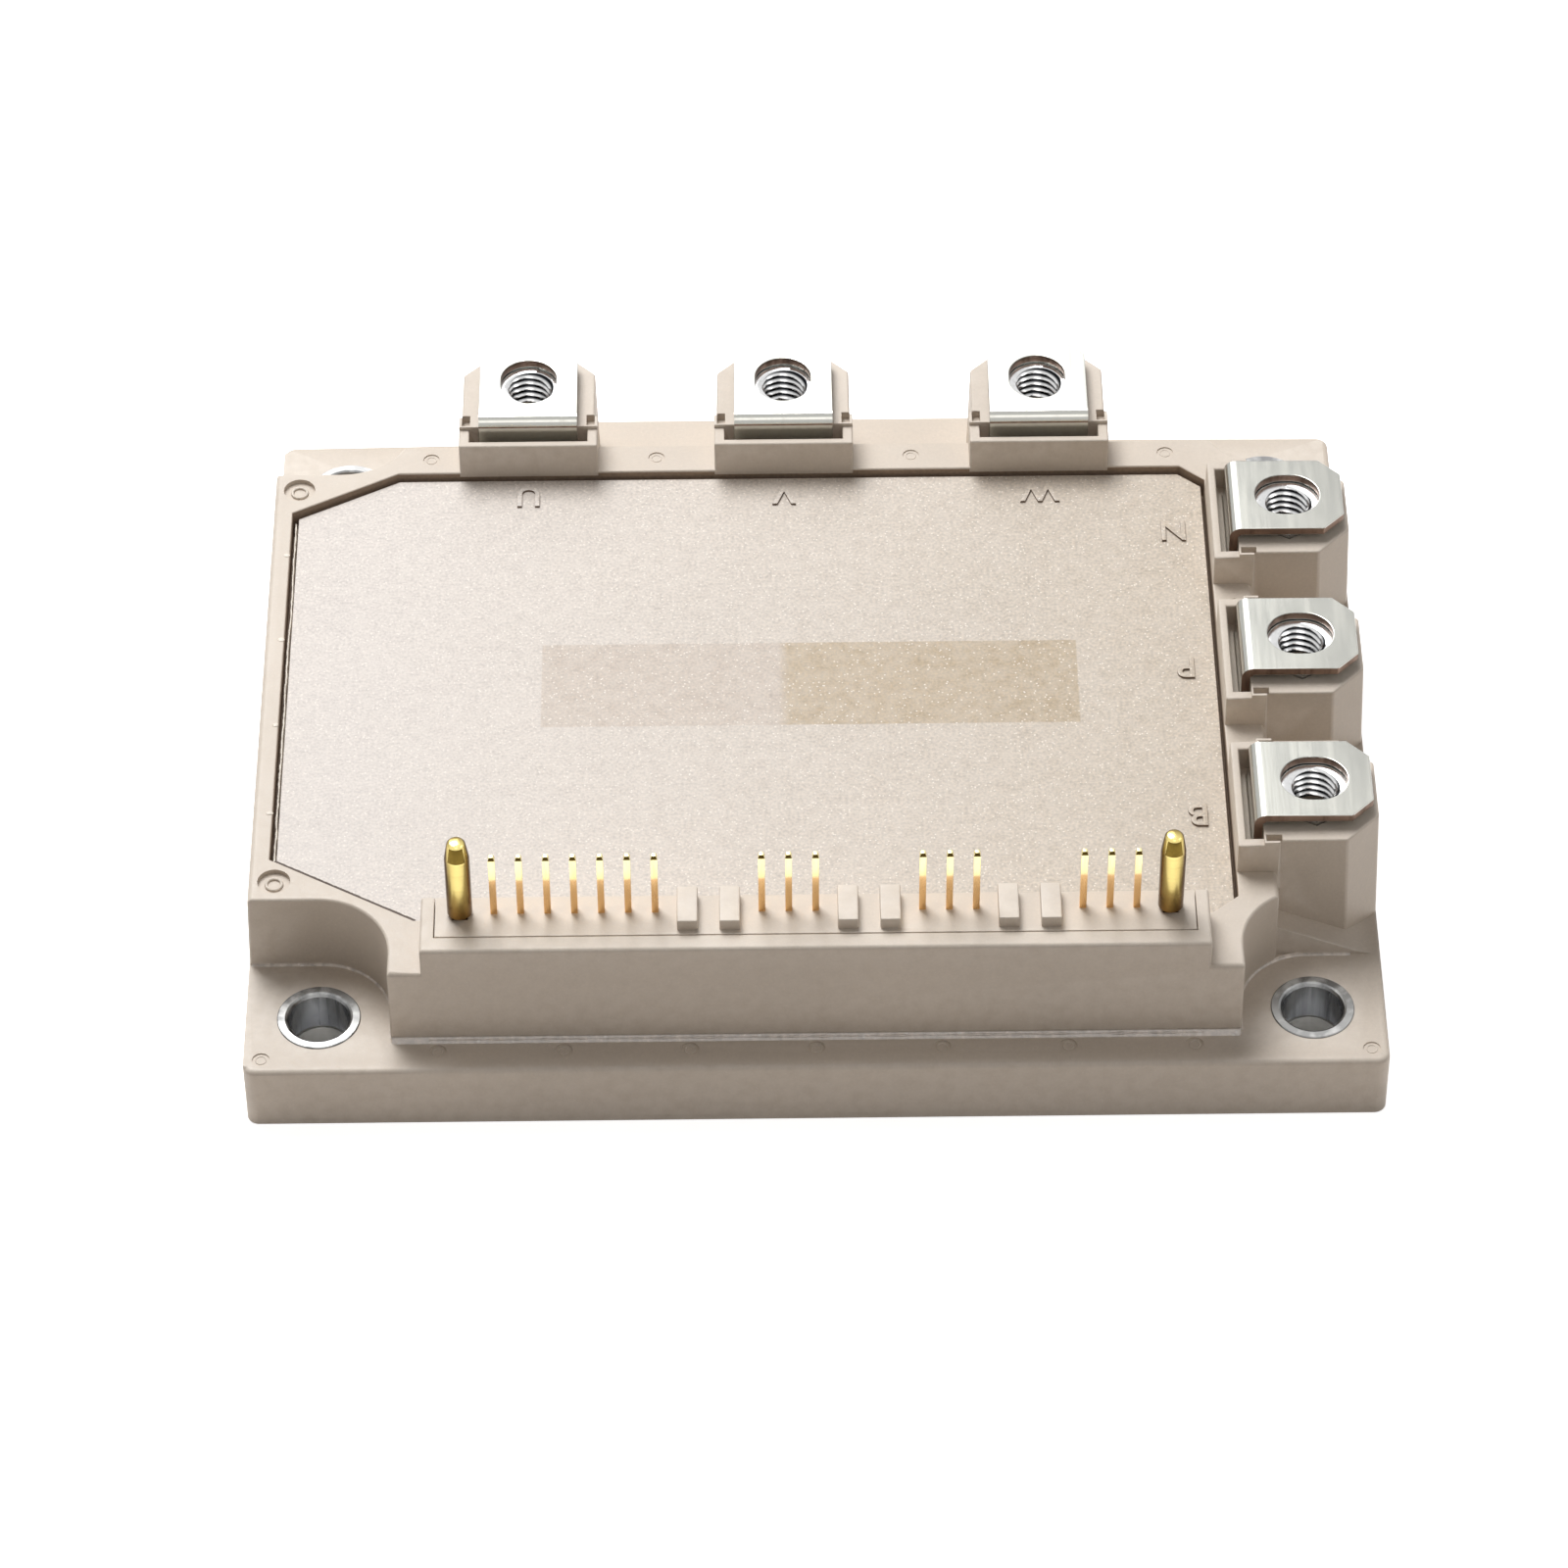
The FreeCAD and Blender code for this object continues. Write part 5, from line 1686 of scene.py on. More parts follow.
    def build_foot_flash(self, book: FinishBook) -> None:
        """Thin shiny flash of uneven width along the connector's foot, whose paler finish paints
        a highlight line.

        Args:
            book: Finishes of the module.
        """
        row, level, sides = self.flash_row, self.flash_level, self.flash_sides
        turns = [2 * math.pi * step / sides for step in range(sides)]
        half = self.connector_end - self.flash_end
        rng = random.Random(self.flash_seed)
        rings = []
        swell = self.flash_first_swell
        for k in range(self.flash_steps + 1):
            x = -half + 2 * half * k / self.flash_steps
            swell = self.flash_memory * swell + rng.uniform(*self.flash_growth)
            swell = min(1.0, max(self.flash_least_swell, swell))
            radius = self.flash_radius * swell
            rings.append([
                (x, row + radius * math.cos(turn), level + radius * math.sin(turn))
                for turn in turns
            ])
        piece = skinned("foot_highlight_flash", rings, FLASH_ANGLE)
        dress(piece, book.get("highlight_flash"))
        settle(piece, Slot.CASE)

    def relief_path(self, side: int, end: int) -> list[tuple[Pair, Pair]]:
        """Foot of the wall in one screw head relief.

        Args:
            side: -1 for the left reliefs, 1 for the right ones.
            end: -1 for the front reliefs, 1 for the rear ones.

        Returns:
            Places along the wall, each with the direction away from the wall.
        """
        middle_x = self.relief_x + self.relief_radius
        middle_y = self.relief_y + self.relief_radius
        outer = -self.left - self.fillet_size if side < 0 else self.web_end
        inner = -self.body_front - self.fillet_size if end < 0 else self.rear_rim
        path = []
        if outer > middle_x:
            path.append(((side * outer, end * self.relief_y), (0.0, float(end))))
        for k in range(self.relief_steps + 1):
            turn = math.pi / 2 * k / self.relief_steps
            out = (-math.sin(turn), -math.cos(turn))
            x = middle_x + self.relief_radius * out[0]
            y = middle_y + self.relief_radius * out[1]
            if x < outer and y < inner:
                path.append(((side * x, end * y), (-side * out[0], -end * out[1])))
        if inner > middle_y:
            path.append(((side * self.relief_x, end * inner), (float(side), 0.0)))
        return path

    def build_relief_feet(self, book: FinishBook) -> None:
        """Small fillets where the reliefs' walls meet the flange, whose paler finish paints a
        highlight line.

        Args:
            book: Finishes of the module.
        """
        size, root, lip = self.fillet_size, self.fillet_root, self.fillet_lip
        hollow = self.fillet_hollow * size
        section = (
            (-root, -root), (size, -root), (size, lip), (hollow, hollow), (lip, size),
            (-root, size),
        )
        for name, side, end in (("front_left", -1, -1), ("front_right", 1, -1)):
            rings = [
                [(x + out_x * away, y + out_y * away, self.flange_top + up)
                 for away, up in section]
                for (x, y), (out_x, out_y) in self.relief_path(side, end)
            ]
            piece = skinned(f"relief_foot_{name}", rings, CRISP_ANGLE)
            dress(piece, book.get("highlight_flash"))
            settle(piece, Slot.CASE)

    def small_marks(self) -> list[Triple]:
        """Centres of the small marks, on the floor of each.

        Returns:
            The centres in millimetres.
        """
        flange = self.flange_top - self.small_mark_depth
        rim = self.body_top - self.small_mark_depth
        inset, count = self.corner_mark_inset, self.ledge_marks_each_way
        points = [
            (k * self.ledge_mark_spacing, self.ledge_mark_row, flange)
            for k in range(-count, count + 1)
        ]
        points += [(s * (self.right - inset), self.front + inset, flange) for s in (-1, 1)]
        points += [(x, self.rear_rim, rim) for x in self.rear_mark_columns]
        points += [((self.opening_right + self.body_right) / 2, self.right_mark_row, rim)]
        return points

    def build_marks(self, book: FinishBook) -> None:
        """Makes the rings inside the round marks, and the dabs along the left rim.

        Args:
            book: Finishes of the module.
        """
        rings = RingTool()
        large_points = [(x, y, self.large_mark_level) for x, y in self.large_marks]
        pieces = [
            rings.run(name, points, Radius=radius * MM, Bead=bead * MM, Sides=sides,
                      Material=book.get("case"))
            for name, points, (radius, bead, sides) in (
                ("small_mark_rings", self.small_marks(), self.small_ring),
                ("large_mark_rings", large_points, self.large_ring),
            )
        ]
        dab_points = [(self.dab_column, y, self.body_top) for y in self.dab_rows]
        pieces.append(DabTool().run(
            "rim_dabs", dab_points, Size=tuple(side * MM for side in self.dab_size),
            Seed=self.dab_seed, Material=book.get("sealant"),
        ))
        for piece in pieces:
            shade(piece.data, LUMP_ANGLE)
            settle(piece, Slot.CASE)


@dataclass
class LidPlate:
    """Flat lid with eased edges, station letters and the bead of sealant at its left."""

    top: float = 15.6
    seat: float = 14.0
    easing: float = 0.14
    edge_margin: float = 0.1
    shortest_edge: float = 0.1
    capital_share: float = 0.73
    letter_height: float = 2.9
    letter_stretch: float = 0.92
    letter_rise: float = 0.24
    letter_weight: float = 0.02
    letter_bevel: float = 0.05
    bead_column: float = -51.9
    bead_width: float = 0.2
    bead_top: float = 15.42
    bead_front: float = -24.0
    bead_rear: float = 23.6
    bead_steps: int = 150
    bead_seed: int = 5
    bead_memory: float = 0.8
    bead_waver: float = 0.03
    bead_top_swing: Pair = (-0.08, 0.06)
    bead_round: float = 0.1

    LETTERS = (
        ("U", -28.4, 26.9), ("V", -2.4, 26.9), ("W", 23.6, 26.9),
        ("N", 36.9, 20.9), ("P", 37.1, 1.1), ("B", 37.2, -19.3),
    )

    def build(self, book: FinishBook) -> None:
        """Makes the plate, the letters and the bead.

        Args:
            book: Finishes of the module.
        """
        upper = (self.top - self.edge_margin, None)
        rounding = Rounding(
            (EdgeRule(self.easing, z=upper, shortest=self.shortest_edge),), segments=2
        )
        plate = rounding.apply(welded("lid"), "lid_plate")
        dress(plate, book.get("lid"))
        settle(plate, Slot.LID, "lid")
        letters = self.build_letters()
        dress(letters, book.get("lid"), book.get("letter_side_painted_shade"))
        # letter sides take the darker finish: painted shade
        for face in letters.data.polygons:
            face.material_index = int(abs(face.normal.z) < SIDEWAYS)
        settle(letters, Slot.LID)
        bead = self.build_bead()
        dress(bead, book.get("sealant"))
        settle(bead, Slot.CASE)

    def build_letters(self) -> Object:
        """Raised letters that name the terminals, upside down to the control side.

        Returns:
            The letters as one object.
        """
        joined = bmesh.new()
        for character, x, y in self.LETTERS:
            joined.from_mesh(self.letter(character, x, y))
        bmesh.ops.remove_doubles(joined, verts=joined.verts[:], dist=WELD_DISTANCE)
        bmesh.ops.recalc_face_normals(joined, faces=joined.faces[:])
        piece = new_object("station_letters", to_mesh(joined, "station_letters"))
        shade(piece.data, CRISP_ANGLE)
        return piece

    def letter(self, character: str, x: float, y: float) -> Mesh:
        """Mesh of one letter in its place.

        Args:
            character: The letter.
            x: Middle of the letter across, in millimetres.
            y: Middle of the letter in depth, in millimetres.

        Returns:
            The mesh, half sunk in the lid's top.
        """
        curve = bpy.data.curves.new("letter", "FONT")
        curve.body = character
        curve.size = self.letter_height * MM / self.capital_share
        curve.extrude = self.letter_rise * MM - self.letter_bevel * MM
        curve.bevel_depth = self.letter_bevel * MM
        curve.bevel_resolution = 1
        curve.offset = self.letter_weight * MM
        holder = new_object("letter", curve)
        bpy.context.view_layer.update()
        graph = bpy.context.evaluated_depsgraph_get()
        mesh = bpy.data.meshes.new_from_object(holder.evaluated_get(graph))
        bpy.data.objects.remove(holder)
        corners = [vertex.co for vertex in mesh.vertices]
        middle = [(min(c[k] for c in corners) + max(c[k] for c in corners)) / 2 for k in (0, 1)]
        centred = Matrix.Translation((-middle[0], -middle[1], 0))
        narrowed = Matrix.Diagonal((self.letter_stretch, 1, 1, 1))
        placed = Matrix.Translation(Vector((x, y, self.top)) * MM)
        mesh.transform(placed @ Matrix.Rotation(math.pi, 4, "Z") @ narrowed @ centred)
        return mesh

    def build_bead(self) -> Object:
        """Uneven bead of sealant that stands on the seat in the left groove.

        Returns:
            The bead.
        """
        rng = random.Random(self.bead_seed)
        waver = self.bead_waver
        rings = []
        drift = 0.0
        for k in range(self.bead_steps + 1):
            y = self.bead_front + (self.bead_rear - self.bead_front) * k / self.bead_steps
            drift = self.bead_memory * drift + rng.uniform(-waver, waver)
            half = self.bead_width / 2 + rng.uniform(-waver, waver)
            top = self.bead_top + rng.uniform(*self.bead_top_swing)
            x = self.bead_column + drift
            rings.append([
                (x - half, y, self.seat), (x + half, y, self.seat),
                (x + half, y, top - self.bead_round), (x + half / 2, y, top),
                (x - half / 2, y, top), (x - half, y, top - self.bead_round),
            ])
        return skinned("groove_bead", rings, BEAD_ANGLE)


@dataclass
class PinConnector:
    """Insert with its keys, sixteen control pins and two guide pins."""

    row: float = -34.75
    pitch: float = 2.54
    counts: tuple[int, ...] = (7, 3, 3, 3)
    group_gap: float = 10.08
    pin_size: float = 0.64
    pin_low: float = 8.4
    pin_top: float = 27.05
    tip: float = 0.42
    tip_share: float = 0.62
    pin_easing: float = 0.03
    guide_gap: float = 3.2
    guide_forward: float = 0.25
    guide_radius: float = 1.2
    shank_low: float = 14.5
    shoulder: float = 19.8
    nose: float = 27.35
    guide_top: float = 29.3
    tip_radius: float = 0.75
    guide_sides: int = 64
    guide_easing: float = 0.12
    nose_drop: float = 0.25
    nose_inset: float = 0.03
    tip_round: float = 0.14
    tip_drops: Pair = (0.28, 0.1)
    nose_shade_drop: float = 0.3
    tip_shade_drop: float = 0.1
    key_easing: float = 0.18
    edge_easing: float = 0.06
    edge_margin: float = 0.1
    shortest_edge: float = 0.7
    holder_top: float = 19.5

    def build(self, book: FinishBook) -> None:
        """Makes the insert and all pins.

        Args:
            book: Finishes of the module.
        """
        keys = (self.holder_top + self.edge_margin, None)
        top = (self.holder_top - self.edge_margin, None)
        rounding = Rounding((
            EdgeRule(self.key_easing, z=keys, shortest=self.shortest_edge),
            EdgeRule(self.edge_easing, z=top, shortest=self.shortest_edge),
        ), segments=2)
        insert = rounding.apply(welded("pin_holder"), "connector_insert")
        dress(insert, book.get("holder"))
        settle(insert, Slot.HOLDER, "pin_holder")
        self.build_pins(book)
        self.build_guides(book)

    def starts(self) -> list[float]:
        """Place of the first pin in each group.

        Returns:
            Places across in millimetres, from the left.
        """
        length = self.pitch * (sum(self.counts) - len(self.counts))
        length += self.group_gap * (len(self.counts) - 1)
        x, found = -length / 2, []
        for count in self.counts:
            found.append(x)
            x += (count - 1) * self.pitch + self.group_gap
        return found

    def build_pins(self, book: FinishBook) -> None:
        """One piece for each group of control pins.

        Args:
            book: Finishes of the module.
        """
        tool = PinTool()
        for letter, count, start in zip("abcd", self.counts, self.starts()):
            name = f"control_pins_{letter}"
            piece = tool.run(
                f"pin_group_{letter}", [(0.0, 0.0, 0.0)], Count=count, Pitch=self.pitch * MM,
                Size=self.pin_size * MM, Shaft=(self.pin_top - self.tip - self.pin_low) * MM,
                Tip=self.tip * MM, Tip_Share=self.tip_share,
                Start=(start * MM, self.row * MM, self.pin_low * MM),
                Material=book.get("gold"),
            )
            self.ease(piece, self.pin_easing)
            # dark front faces of the tips: painted reflection
            piece.data.materials.append(book.get("gold_shade"))
            self.mark_front(
                piece, (self.pin_top - self.tip, self.pin_top - self.tip_shade_drop)
            )
            settle(piece, Slot.PINS, name)

    @staticmethod
    def mark_front(piece: Object, levels: Pair) -> None:
        """Gives the second material, a painted dark reflection, to front faces between two
        heights.

        Args:
            piece: The piece.
            levels: Lower and upper height.
        """
        for face in piece.data.polygons:
            if levels[0] < face.center.z / MM < levels[1] and face.normal.y < -STEEP:
                face.material_index = 1

    @staticmethod
    def ease(piece: Object, width: float) -> None:
        """Rounds all edges of a plain piece by one width.

        Args:
            piece: The piece.
            width: Width in millimetres.
        """
        bevel = piece.modifiers.new("easing", "BEVEL")
        bevel.limit_method = "ANGLE"
        bevel.angle_limit = CREASE_ANGLE / 2
        bevel.width = width * MM
        bevel.segments = 2
        baked(piece, piece.name)
        even_shading(piece)

    def build_guides(self, book: FinishBook) -> None:
        """Turned guide pins at both ends of the row.

        Args:
            book: Finishes of the module.
        """
        starts = self.starts()
        ends = {
            "left": starts[0] - self.guide_gap,
            "right": -(starts[0] - self.guide_gap),
        }
        radius, tip, top = self.guide_radius, self.tip_radius, self.guide_top
        profile = [
            (tip, self.shank_low),
            (tip, self.shoulder),
            (radius - self.guide_easing, self.shoulder),
            (radius, self.shoulder + self.guide_easing),
            (radius, self.nose - self.nose_drop),
            (radius - self.nose_inset, self.nose),
            (tip + self.tip_round, top - self.tip_drops[0]),
            (tip, top - self.tip_drops[1]),
            (tip - self.tip_round, top),
        ]
        for side, x in ends.items():
            place = (x, self.row - self.guide_forward)
            made = turned(profile, place, self.guide_sides, closed=False)
            piece = new_object(f"turned_guide_{side}", to_mesh(made, "turned_guide"))
            shade(piece.data)
            dress(piece, book.get("brass"), book.get("brass_shade"))
            # dark front faces of the nose: painted reflection
            self.mark_front(piece, (self.nose, top - self.nose_shade_drop))
            settle(piece, Slot.GUIDE_PIN, f"guide_pin_{side}")


@dataclass
class ScrewTerminal:
    """Bent tab with eased edges over a threaded nut."""

    station: Station
    easing: float = 0.09
    shortest_edge: float = 0.2
    edge_slope: float = 0.3
    side_facing: float = 0.95
    across_flats: float = 8.0
    nut_bottom: float = 17.0
    nut_top: float = 21.0
    major: float = 2.5
    minor: float = 2.08
    thread_pitch: float = 0.8
    thread_flat: float = 0.12
    thread_mouth: float = 0.12
    deepest_groove: float = 1.01
    steps: int = 60
    rows_per_turn: int = 8
    washer_share: float = 0.95
    chamfer_slope: float = 0.5

    def build(self, book: FinishBook) -> None:
        """Makes the tab and the nut.

        Args:
            book: Finishes of the module.
        """
        label = self.station.label
        rounding = Rounding(
            (EdgeRule(self.easing, shortest=self.shortest_edge),), segments=2
        )
        tab = rounding.apply(welded(f"terminal_{label}"), f"tab_{label}")
        # cut edges and sides: bare cut metal, darkened as painted shade
        dress(tab, book.get("tin"), book.get("tin_edge_and_shade"))
        for face in tab.data.polygons:
            face.material_index = int(self.is_cut_edge(face))
        settle(tab, Slot.TERMINAL, f"terminal_{label}")
        nut = new_object(f"threaded_nut_{label}", self.nut_mesh())
        nut.data.transform(self.station.placement())
        dress(nut, book.get("zinc"))
        settle(nut, Slot.NUT, f"nut_{label}")

    def is_cut_edge(self, face: MeshPolygon) -> bool:
        """True for the strip's sides, and for the rims of the tab and its slot, which take the
        dark cut-edge finish: bare cut metal with painted shade.

        Args:
            face: Face of the tab.

        Returns:
            Whether it was cut.
        """
        turned_side = self.station.value[3] != 0.0
        side = abs(face.normal.y if turned_side else face.normal.x) > self.side_facing
        raised = face.center.z > self.nut_top * MM and abs(face.normal.z) < self.edge_slope
        return side or raised

    def hexagon(self, angle: float) -> float:
        """Distance from the axis to the hexagon's side in one direction.

        Args:
            angle: Direction from the axis.

        Returns:
            The distance in millimetres.
        """
        sixth = math.pi / 3
        offset = (angle + sixth / 2) % sixth - sixth / 2
        return self.across_flats / 2 / math.cos(sixth / 2 - abs(offset))

    def nut_mesh(self) -> Mesh:
        """Hexagonal nut with chamfered corners and a helical thread.

        Returns:
            The mesh in the terminal's own frame.
        """
        angles = [2 * math.pi * k / self.steps for k in range(self.steps)]
        washer = self.across_flats / 2 * self.washer_share
        height = self.nut_top - self.nut_bottom
        rows = round(height / self.thread_pitch * self.rows_per_turn)

        def ring(radius_of: Callable[[float], float], z_of: Callable[[float], float]) -> list:
            """Points at the given radius and height for each angle."""
            return [(radius_of(a) * math.cos(a), radius_of(a) * math.sin(a), z_of(a))
                    for a in angles]

        def drop(angle: float) -> float:
            """Depth of the chamfer at the hexagon's side."""
            return max(0.0, (self.hexagon(angle) - washer) * self.chamfer_slope)

        def thread(angle: float, z: float) -> float:
            """Radius of the thread's flank.

            Args:
                angle: Direction from the axis.
                z: Height.

            Returns:
                The radius in millimetres.
            """
            phase = (z / self.thread_pitch - angle / (2 * math.pi)) % 1.0
            crest = abs(2 * phase - 1)
            slope = (crest - self.thread_flat) / (1.0 - 2 * self.thread_flat)
            flank = min(1.0, max(0.0, slope))
            return self.minor + (self.major - self.minor) * flank

        levels = [self.nut_bottom + height * k / rows for k in range(rows + 1)]
        mouth = self.major + self.thread_mouth
        rings = [
            ring(lambda a: washer, lambda a: self.nut_bottom),
            ring(self.hexagon, lambda a: self.nut_bottom + drop(a)),
            ring(self.hexagon, lambda a: self.nut_top - drop(a)),
            ring(lambda a: washer, lambda a: self.nut_top),
            ring(lambda a: mouth, lambda a: self.nut_top),
        ]
        for level in reversed(levels[1:-1]):
            rings.append(ring(lambda a, z=level: thread(a, z), lambda a, z=level: z))
        rings.append(ring(lambda a: mouth, lambda a: self.nut_bottom))
        mesh = to_mesh(from_rings(rings, close_ends=False), "threaded_nut")
        shade(mesh, NUT_ANGLE)
        # depth into the thread groove, which the zinc finish reads to paint shade in the grooves
        groove = mesh.attributes.new(GROOVE, "FLOAT", "POINT")
        for vertex, value in zip(mesh.vertices, groove.data):
            radius = vertex.co.xy.length / MM
            depth = (radius - self.minor) / (self.major - self.minor)
            value.value = depth if depth <= self.deepest_groove else 0.0
        return mesh


@dataclass
class MountingCorner:
    """Pressed sleeve with a chamfered mouth in one mounting hole."""

    name: str
    x: float
    y: float
    bore: float = 2.9
    outer: float = 4.0
    wall_middle: float = 3.2
    low: float = 3.0
    top: float = 7.5
    chamfer: float = 0.35
    mouth_curve: Pair = (0.45, 0.3)
    rim: float = 0.08
    foot_easing: float = 0.12
    sides: int = 96

    def build(self, book: FinishBook) -> None:
        """Makes the sleeve.

        Args:
            book: Finishes of the module.
        """
        across, down = (share * self.chamfer for share in self.mouth_curve)
        profile = [
            (self.outer, self.low),
            (self.outer, self.top - self.rim),
            (self.outer - self.rim, self.top),
            (self.bore + self.chamfer, self.top),
            (self.bore + across, self.top - down),
            (self.bore, self.top - self.chamfer),
            (self.bore, self.low + self.foot_easing),
            (self.bore + self.foot_easing, self.low),
        ]
        made = turned(profile, (self.x, self.y), self.sides, closed=True)
        piece = new_object(f"pressed_{self.name}", to_mesh(made, "pressed_sleeve"))
        shade(piece.data, SLEEVE_ANGLE)
        dress(piece, book.get("nickel"), book.get("bore"))
        axis = Vector((self.x, self.y)) * MM
        for face in piece.data.polygons:
            inner = (face.center.xy - axis).length < self.wall_middle * MM
            if abs(face.normal.z) < SIDEWAYS and inner:
                face.material_index = 1
        settle(piece, Slot.SLEEVE, self.name)


@dataclass
class BasePlate:
    """Nickel-plated plate under the case."""

    easing: float = 0.15
    lower_reach: float = 0.5
    shortest_edge: float = 0.2

    def build(self, book: FinishBook) -> None:
        """Makes the plate with eased lower edges.

        Args:
            book: Finishes of the module.
        """
        lower = (None, self.lower_reach)
        rounding = Rounding(
            (EdgeRule(self.easing, z=lower, shortest=self.shortest_edge),), segments=2
        )
        piece = rounding.apply(welded("base_plate"), "heat_plate")
        dress(piece, book.get("base"))
        settle(piece, Slot.BASE_PLATE, "base_plate")


@dataclass
class SealedParts:
    """Parts under the lid, which keep their source shapes and get their finishes."""

    FINISHES = {
        "board": ("control_board",),
        "package": ("gate_drivers", "signal_buffers"),
        "gold": ("relay_pins",),
        "ceramic": ("ceramic_u", "ceramic_v", "ceramic_w", "ceramic_brake"),
        "copper": ("copper_u", "copper_v", "copper_w", "copper_brake"),
        "chip": ("switch_chips", "diode_chips"),
        "wire": ("bond_wires",),
        "gel": ("gel_filling",),
    }

    def build(self, book: FinishBook) -> None:
        """Assigns the finishes to the nodes' own material slots.

        Args:
            book: Finishes of the module.
        """
        for finish, nodes in self.FINISHES.items():
            for node in nodes:
                dress(frame["nodes"][node], book.get(finish))
                log.info("%s: %s finish", node, finish)


# Studio


def toward(azimuth: float, elevation: float) -> Vector:
    """Direction from the object to a place round it.

    Args:
        azimuth: Degrees round the object, 0 in front and 90 on the right.
        elevation: Degrees above the floor.

    Returns:
        The direction, with a length of one.
    """
    turn, rise = math.radians(azimuth), math.radians(elevation)
    level = math.cos(rise)
    return Vector((math.sin(turn) * level, -math.cos(turn) * level, math.sin(rise)))


@dataclass(frozen=True)
class Softbox:
    """Square lamp that looks at the object."""

    name: str
    azimuth: float
    elevation: float
    distance: float
    side: float
    power: float
    colour: Triple = (1.0, 1.0, 1.0)
    aim: Triple = (0.0, 0.0, 0.012)

    def hang(self) -> None:
        """Adds the lamp in its direction, turned to its aim."""
        back = toward(self.azimuth, self.elevation)
        lamp = bpy.data.lights.new(self.name, "AREA")
        lamp.shape = "SQUARE"
        lamp.size = self.side
        lamp.energy = self.power
        lamp.color = self.colour
        holder = bpy.data.objects.new(self.name, lamp)
        holder.location = Vector(self.aim) + back * self.distance
        holder.rotation_mode = "QUATERNION"
        holder.rotation_quaternion = (-back).to_track_quat("-Z", "Y")
        bpy.context.scene.collection.objects.link(holder)


@dataclass(frozen=True)
class Viewpoint:
    """Camera at the photograph's angle."""

    azimuth: float = -0.2007
    elevation: float = 45.393
    roll: float = -0.4527
    target: Triple = (0.0, 0.0, 0.008)
    shift_right: float = -0.002699
    shift_up: float = -0.004918
    distance: float = 0.6265
    lens: float = 144.32
    sensor: float = 36.0
    nearest: float = 0.05
    farthest: float = 20.0

    def place(self) -> None:
        """Adds the camera and makes it the scene's own."""
        turn = math.radians(self.azimuth)
        right = Vector((math.cos(turn), math.sin(turn), 0))
        back = toward(self.azimuth, self.elevation)
        up = back.cross(right)
        c, s = math.cos(math.radians(self.roll)), math.sin(math.radians(self.roll))
        right, up = right * c + up * s, up * c - right * s
        place = Vector(self.target) + right * self.shift_right + up * self.shift_up
        place += back * self.distance
        data = bpy.data.cameras.new("viewpoint")
        data.lens = self.lens
        data.sensor_width = self.sensor
        data.clip_start = self.nearest
        data.clip_end = self.farthest
        camera = bpy.data.objects.new("viewpoint", data)
        turned_to = Matrix((right, up, back)).transposed().to_4x4()
        camera.matrix_world = Matrix.Translation(place) @ turned_to
        bpy.context.scene.collection.objects.link(camera)
        bpy.context.scene.camera = camera


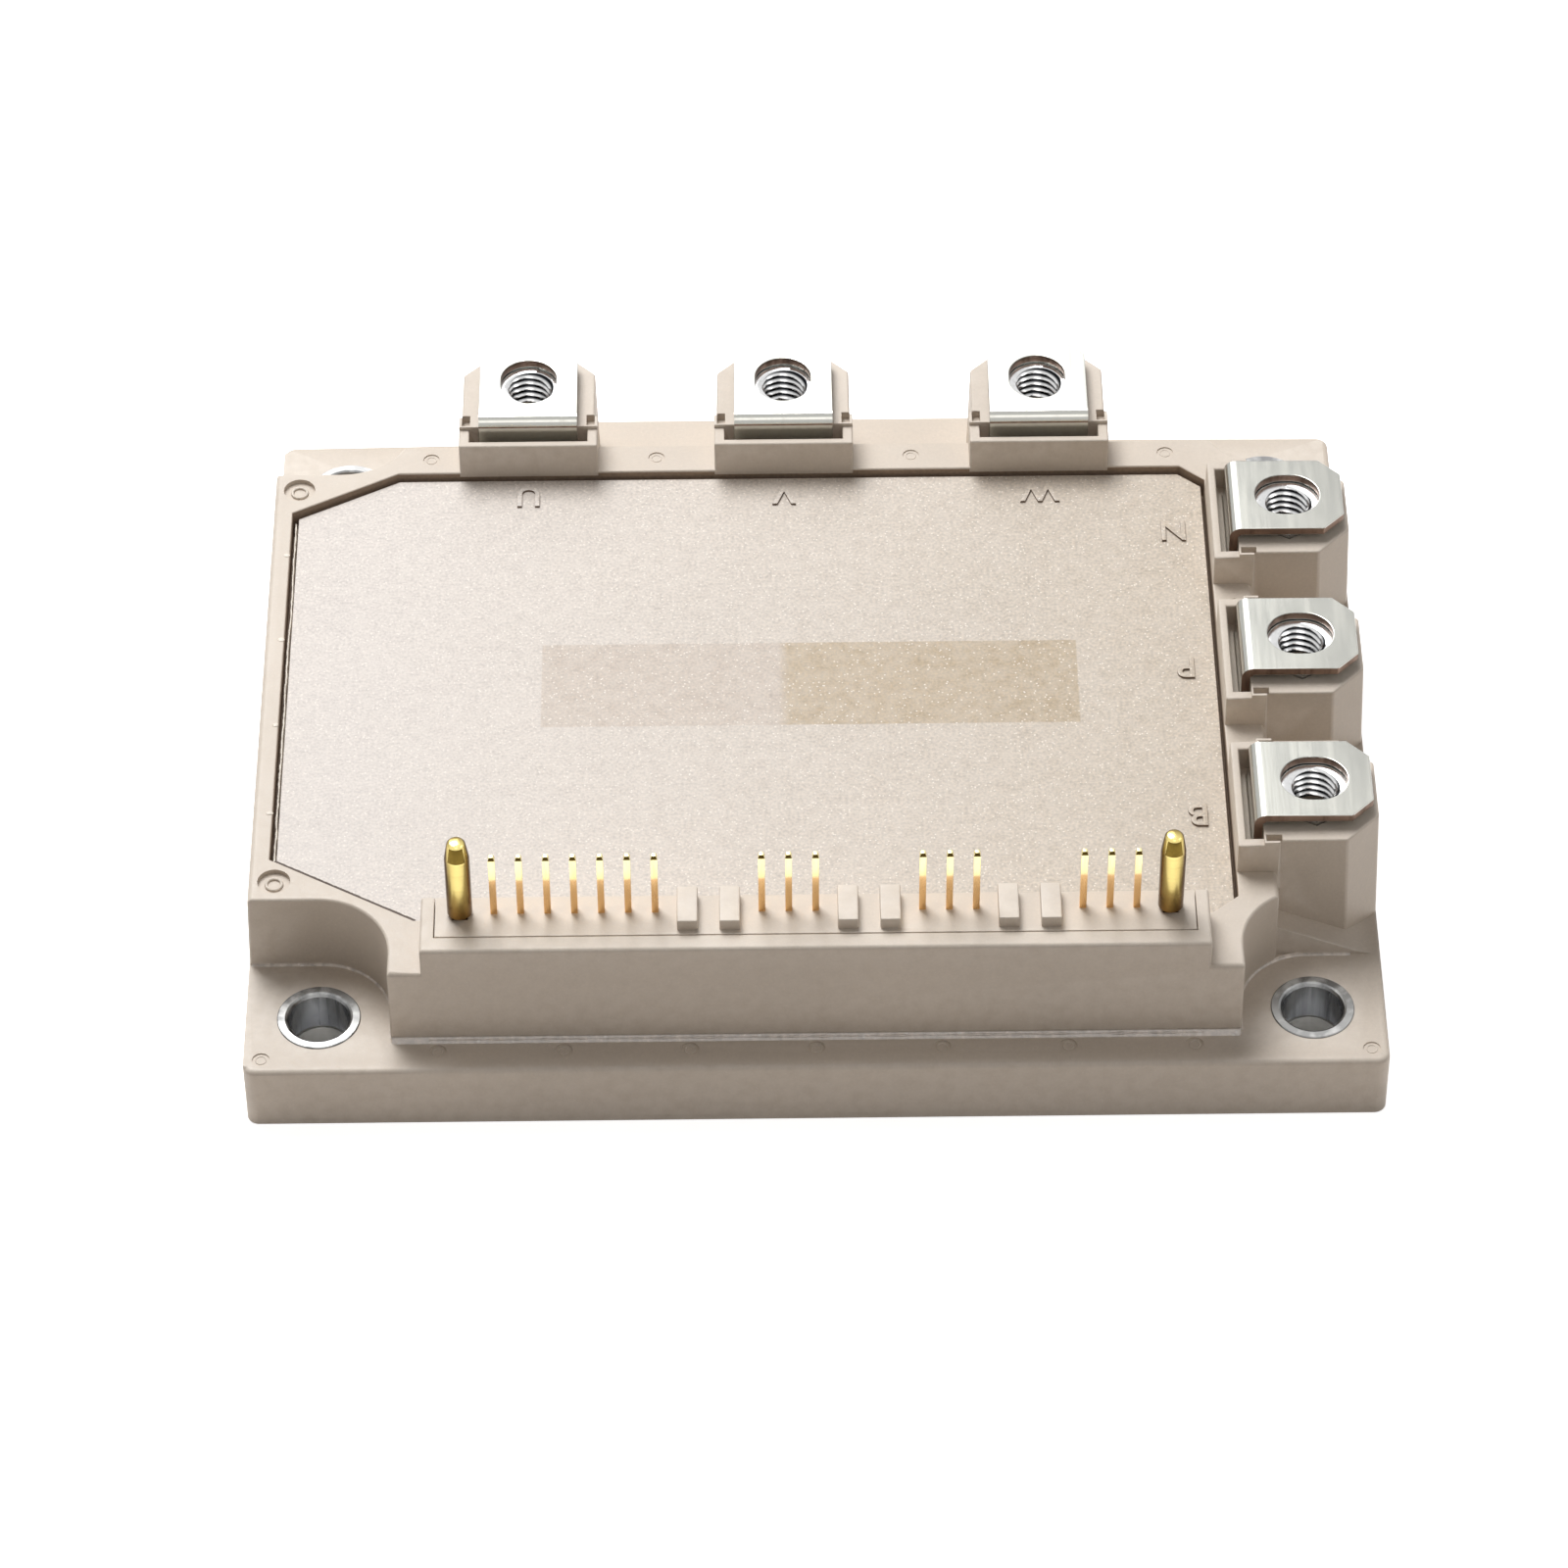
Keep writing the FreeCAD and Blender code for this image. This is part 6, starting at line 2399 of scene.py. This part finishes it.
@dataclass(frozen=True)
class Studio:
    """Pale floor, soft lamps and a white surround."""

    floor_half: float = 3.0
    floor_tone: tuple = tone(232, 224, 216)
    shown_tone: tuple = tone(250, 250, 250)
    floor_lift: float = 0.75
    shaded_lift: float = 0.1
    stood_on: Pair = (53.0, 42.5)
    ambient: tuple = (1.0, 0.98, 0.96, 1.0)
    ambient_strength: float = 0.12
    lamps: tuple[Softbox, ...] = (
        Softbox("key_softbox", 209.0, 60.0, 0.62, 0.34, 3.7),
        Softbox("back_softbox", 195.5, 41.2, 0.994, 0.6, 2.3),
        Softbox("front_softbox", 4.0, 50.0, 1.1, 0.5, 0.9, (1.0, 0.955, 0.93)),
        Softbox("side_softbox", 80.0, 35.0, 0.9, 0.4, 0.8),
    )

    def build(self) -> None:
        """Makes the surround, the floor, the lamps and the camera."""
        self.build_world()
        self.build_floor()
        for lamp in self.lamps:
            lamp.hang()
        Viewpoint().place()
        bpy.context.scene.view_settings.view_transform = "Standard"

    @staticmethod
    def by_sight(wiring: Wiring, unseen: Node, seen: Node) -> NodeSocket:
        """Shader for sight, reflections and light through clear parts, and one for the rest.

        Args:
            wiring: Wiring of the material or the world.
            unseen: Shader that lights the object.
            seen: Shader that shows.

        Returns:
            The mixed shader's socket.
        """
        rays = wiring.node("ShaderNodeLightPath").outputs
        direct = wiring.math("MAXIMUM", rays["Is Camera Ray"], rays["Is Glossy Ray"])
        share = wiring.math("MAXIMUM", direct, rays["Is Transmission Ray"])
        both = wiring.node("ShaderNodeMixShader", {0: share})
        wiring.feed(both.inputs[1], unseen.outputs[0])
        wiring.feed(both.inputs[2], seen.outputs[0])
        return both.outputs[0]

    def build_world(self) -> None:
        """White where it is seen, and a dim even light for the rest."""
        world = bpy.data.worlds.new("surround")
        wiring = cleared(world)
        white = wiring.node("ShaderNodeBackground", {"Color": (1, 1, 1, 1), "Strength": 1.0})
        dim = wiring.node(
            "ShaderNodeBackground", {"Color": self.ambient, "Strength": self.ambient_strength}
        )
        output = wiring.node("ShaderNodeOutputWorld")
        wiring.feed(output.inputs["Surface"], self.by_sight(wiring, dim, white))
        bpy.context.scene.world = world

    def outside(self, wiring: Wiring) -> NodeSocket:
        """1 on the open floor, and 0 on the patch that the object stands on, whose smaller lift
        paints a shadow.

        Args:
            wiring: Wiring of the floor's material.

        Returns:
            The mask's socket.
        """
        place = wiring.node("ShaderNodeTexCoord").outputs["Object"]
        parts = wiring.node("ShaderNodeSeparateXYZ", {0: place}).outputs
        beyond = [
            wiring.math("GREATER_THAN", wiring.math("ABSOLUTE", parts[axis]), half * MM)
            for axis, half in enumerate(self.stood_on)
        ]
        return wiring.math("MAXIMUM", *beyond)

    def build_floor(self) -> None:
        """Plain pale floor that shows white and keeps the object's shadow."""
        half = self.floor_half
        mesh = bpy.data.meshes.new("studio_floor")
        corners = [(-half, -half, 0), (half, -half, 0), (half, half, 0), (-half, half, 0)]
        mesh.from_pydata(corners, [], [(0, 1, 2, 3)])
        floor = new_object("studio_floor", mesh)
        material = bpy.data.materials.new("pale_floor")
        wiring = cleared(material)
        plain = wiring.node("ShaderNodeBsdfDiffuse", {"Color": self.floor_tone})
        shown = wiring.node("ShaderNodeBsdfDiffuse", {"Color": self.shown_tone})
        # smaller lift on the patch under the object: painted shadow
        strength = wiring.span(
            self.outside(wiring), UNIT, (self.shaded_lift, self.floor_lift)
        )
        lift = wiring.node("ShaderNodeEmission", {"Strength": strength})
        lifted = wiring.node("ShaderNodeAddShader")
        wiring.feed(lifted.inputs[0], shown.outputs[0])
        wiring.feed(lifted.inputs[1], lift.outputs[0])
        output = wiring.node("ShaderNodeOutputMaterial")
        wiring.feed(output.inputs["Surface"], self.by_sight(wiring, plain, lifted))
        dress(floor, material)
        floor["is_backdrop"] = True


def write_sizes() -> None:
    """Makes the source's box and the finished box as plain lists, and keeps neither.
    """
    def plain(corners: Sequence[Vector]) -> list[list[float]]:
        """Corners as lists of rounded numbers."""
        return [[round(value, 6) for value in corner] for corner in corners]

    {"cad": plain(CAD_BOX), "visual": plain(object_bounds())}


def main() -> None:
    """Builds every sub-assembly in order, and then the studio."""
    logging.basicConfig(level=logging.INFO, format="%(name)s: %(message)s")
    book = FinishBook()
    CaseMoulding().build(book)
    LidPlate().build(book)
    PinConnector().build(book)
    for station in Station:
        ScrewTerminal(station).build(book)
    for side, y in (("front", -37.0), ("rear", 37.0)):
        for end, x in (("left", -47.5), ("right", 47.5)):
            MountingCorner(f"sleeve_{side}_{end}", x, y).build(book)
    BasePlate().build(book)
    SealedParts().build(book)
    Studio().build()
    write_sizes()
    log.info("all pieces are in place")


if __name__ == "__main__":
    main()
